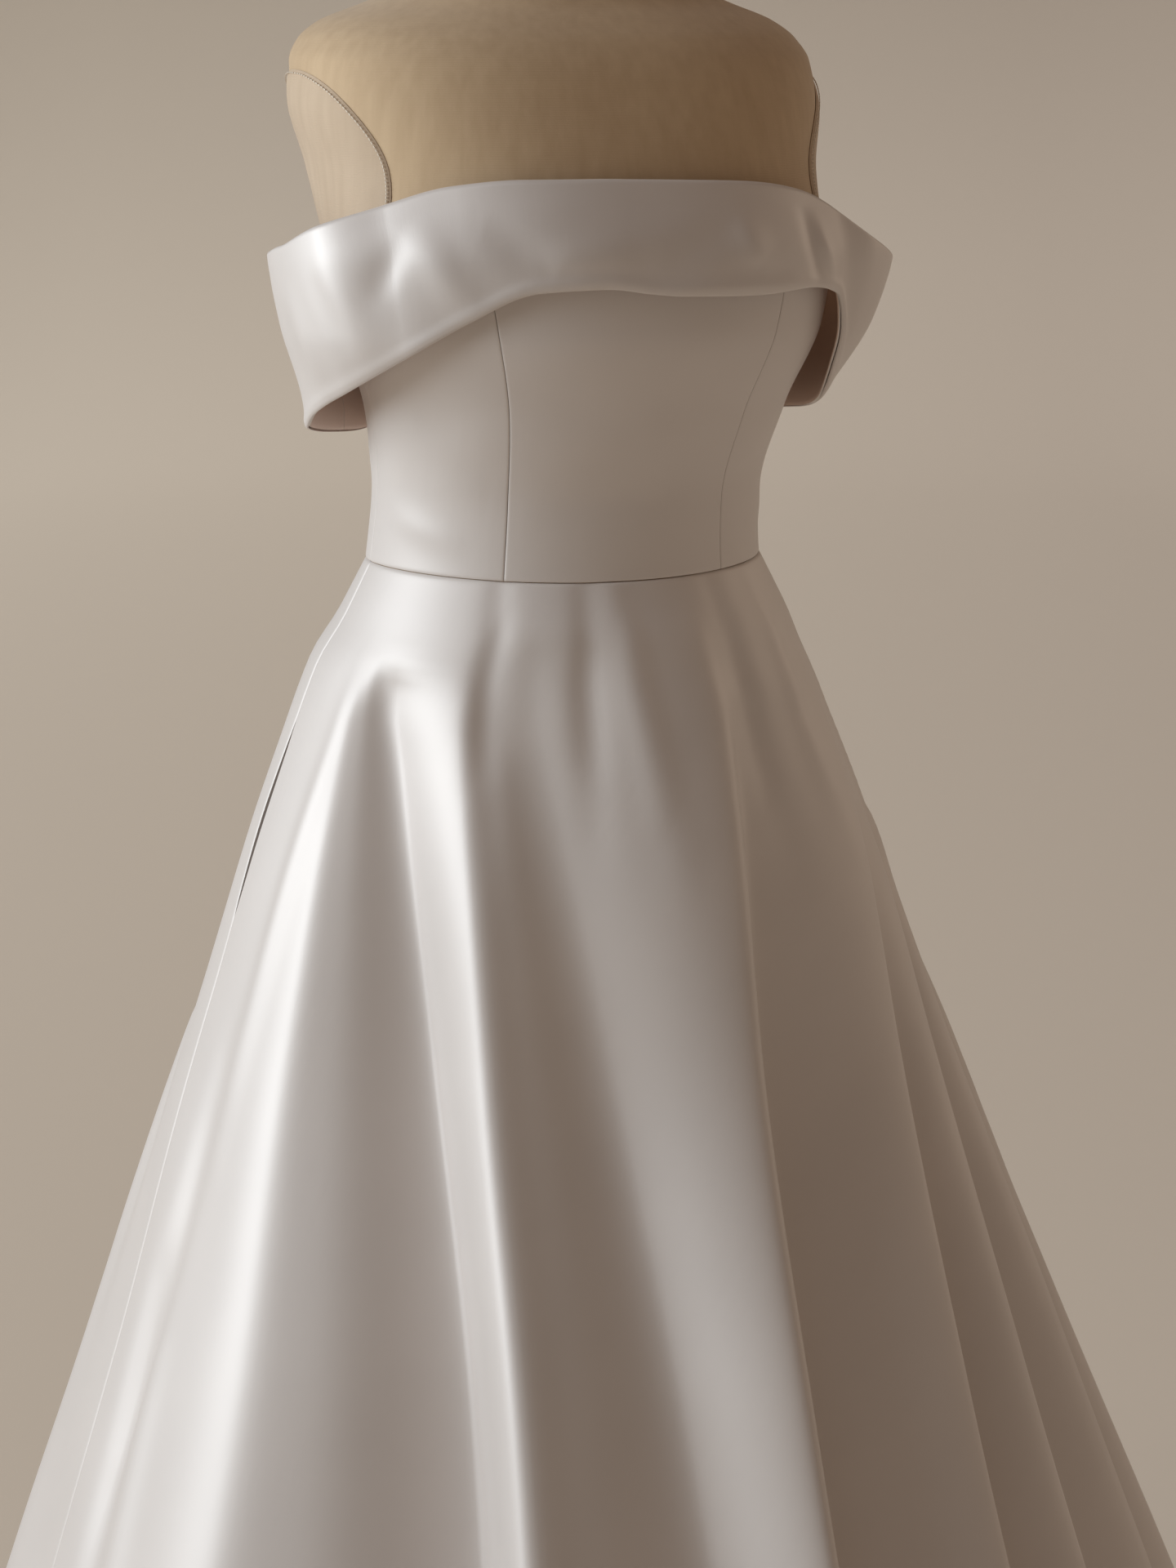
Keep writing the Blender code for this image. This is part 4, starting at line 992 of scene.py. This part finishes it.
# ---------------------------------------------------------------- stage, lights, camera
def make_stage():
    """A pale floor that turns up into the wall all round, far from the dress."""
    made = Nodes("studio")
    made.set(Roughness=0.9)
    made.shader.inputs["Specular IOR Level"].default_value = 0.1
    # Painted light: the floor and wall colour runs from lighter towards -X, the key's side, to darker
    # towards +X.
    across = made.add("ShaderNodeVectorMath", operation="DOT_PRODUCT")
    made.link(made.mapped((1.0, 1.0, 1.0), use_chart=False), across.inputs[0])
    across.inputs[1].default_value = (0.93, -0.37, 0.0)
    share = made.add("ShaderNodeMapRange")
    share.inputs["From Min"].default_value = -1.5
    share.inputs["From Max"].default_value = 1.5
    made.link(across.outputs["Value"], share.inputs["Value"])
    made.link(made.ramp(share.outputs[0], [(0.0, (0.665, 0.628, 0.560)),
                                           (1.0, (0.525, 0.480, 0.425))]),
              made.shader.inputs["Base Color"])
    profile = [(0.0, 0.0), (2.0, 0.0), (5.0, 0.0), (9.0, 0.0)]
    profile += [(9.0 + 2.5 * math.sin(turn), 2.5 - 2.5 * math.cos(turn))
                for turn in np.linspace(0.1, math.pi / 2.0, 14)]
    profile += [(11.5, 7.5)]
    segments = 96
    vertices, faces = [(0.0, 0.0, 0.0)], []
    for radius, height in profile[1:]:
        for number in range(segments):
            angle = 2.0 * math.pi * number / segments
            vertices.append((radius * math.cos(angle), radius * math.sin(angle), height))
    for number in range(segments):
        faces.append((0, 1 + number, 1 + (number + 1) % segments))
    for row in range(len(profile) - 2):
        for number in range(segments):
            after = (number + 1) % segments
            low, high = 1 + row * segments, 1 + (row + 1) * segments
            faces.append((low + number, high + number, high + after, low + after))
    mesh = bpy.data.meshes.new("studio_floor")
    mesh.from_pydata(vertices, [], faces)
    mesh.materials.append(made.material)
    mesh.shade_smooth()
    floor = bpy.data.objects.new("studio_floor", mesh)
    bpy.context.scene.collection.objects.link(floor)
    return floor


def area_light(name, azimuth, elevation, distance, size, power, colour):
    """A soft light at an angle round the dress, aimed at its middle."""
    turn, rise = math.radians(azimuth), math.radians(elevation)
    aim = Vector((0.0, 0.0, 0.95))
    away = Vector((math.sin(turn) * math.cos(rise), -math.cos(turn) * math.cos(rise),
                   math.sin(rise)))
    lamp = bpy.data.lights.new(name, "AREA")
    lamp.shape = "RECTANGLE"
    lamp.size, lamp.size_y = size
    lamp.energy = power
    lamp.color = colour
    shape = bpy.data.objects.new(name, lamp)
    shape.location = aim + away * distance
    shape.rotation_euler = (-away).to_track_quat("-Z", "Y").to_euler()
    shape.visible_camera = False
    bpy.context.scene.collection.objects.link(shape)
    return shape


def make_lights(floor):
    key = area_light("key", -95.0, 19.0, 2.8, (1.8, 2.0), 73.0, (0.86, 0.945, 1.0))
    right = area_light("right", 96.0, 20.0, 3.6, (1.6, 1.6), 8.0, (1.0, 0.84, 0.68))
    top = area_light("top", -58.0, 56.0, 3.0, (2.2, 2.2), 7.0, (0.96, 0.98, 1.0))
    lamp = bpy.data.lights.new("backdrop", "SUN")
    lamp.energy = 1.9
    lamp.angle = math.radians(50.0)
    lamp.color = (1.0, 0.97, 0.94)
    shape = bpy.data.objects.new("backdrop", lamp)
    shape.rotation_euler = (math.radians(10.0), math.radians(-25.0), 0.0)
    bpy.context.scene.collection.objects.link(shape)
    lit = bpy.data.collections.new("backdrop_only")
    lit.objects.link(floor)
    shape.light_linking.receiver_collection = lit
    unlit = bpy.data.collections.new("all_but_backdrop")
    unlit.objects.link(floor)
    unlit.collection_objects[0].light_linking.link_state = "EXCLUDE"
    for soft_box in (key, right, top):
        soft_box.light_linking.receiver_collection = unlit
    world = bpy.data.worlds.new("studio")
    world.use_nodes = True
    sky = world.node_tree.nodes["Background"]
    sky.inputs["Color"].default_value = (1.0, 0.60, 0.35, 1.0)
    sky.inputs["Strength"].default_value = 0.122
    bpy.context.scene.world = world


def make_camera():
    azimuth, elevation = math.radians(-22.0), math.radians(11.0)
    distance = 2.5
    target = Vector((0.0168, 0.0, 0.917))
    back = Vector((math.sin(azimuth) * math.cos(elevation),
                   -math.cos(azimuth) * math.cos(elevation), math.sin(elevation)))
    data = bpy.data.cameras.new("camera")
    data.lens = 94.5
    data.sensor_width = 36.0
    data.clip_end = 60.0
    camera = bpy.data.objects.new("camera", data)
    camera.location = target + back * distance
    camera.rotation_mode = "QUATERNION"
    camera.rotation_quaternion = (-back).to_track_quat("-Z", "Y")
    bpy.context.scene.collection.objects.link(camera)
    bpy.context.scene.camera = camera


bpy.context.scene.view_settings.view_transform = "Standard"
make_camera()
make_torso()
make_arm_plate("left", 1.0)
make_arm_plate("right", -1.0)
make_stand()
make_bodice()
make_band()
make_skirt()
make_pocket_bag("left", 1.0)
make_pocket_bag("right", -1.0)
make_zip()
make_lights(make_stage())
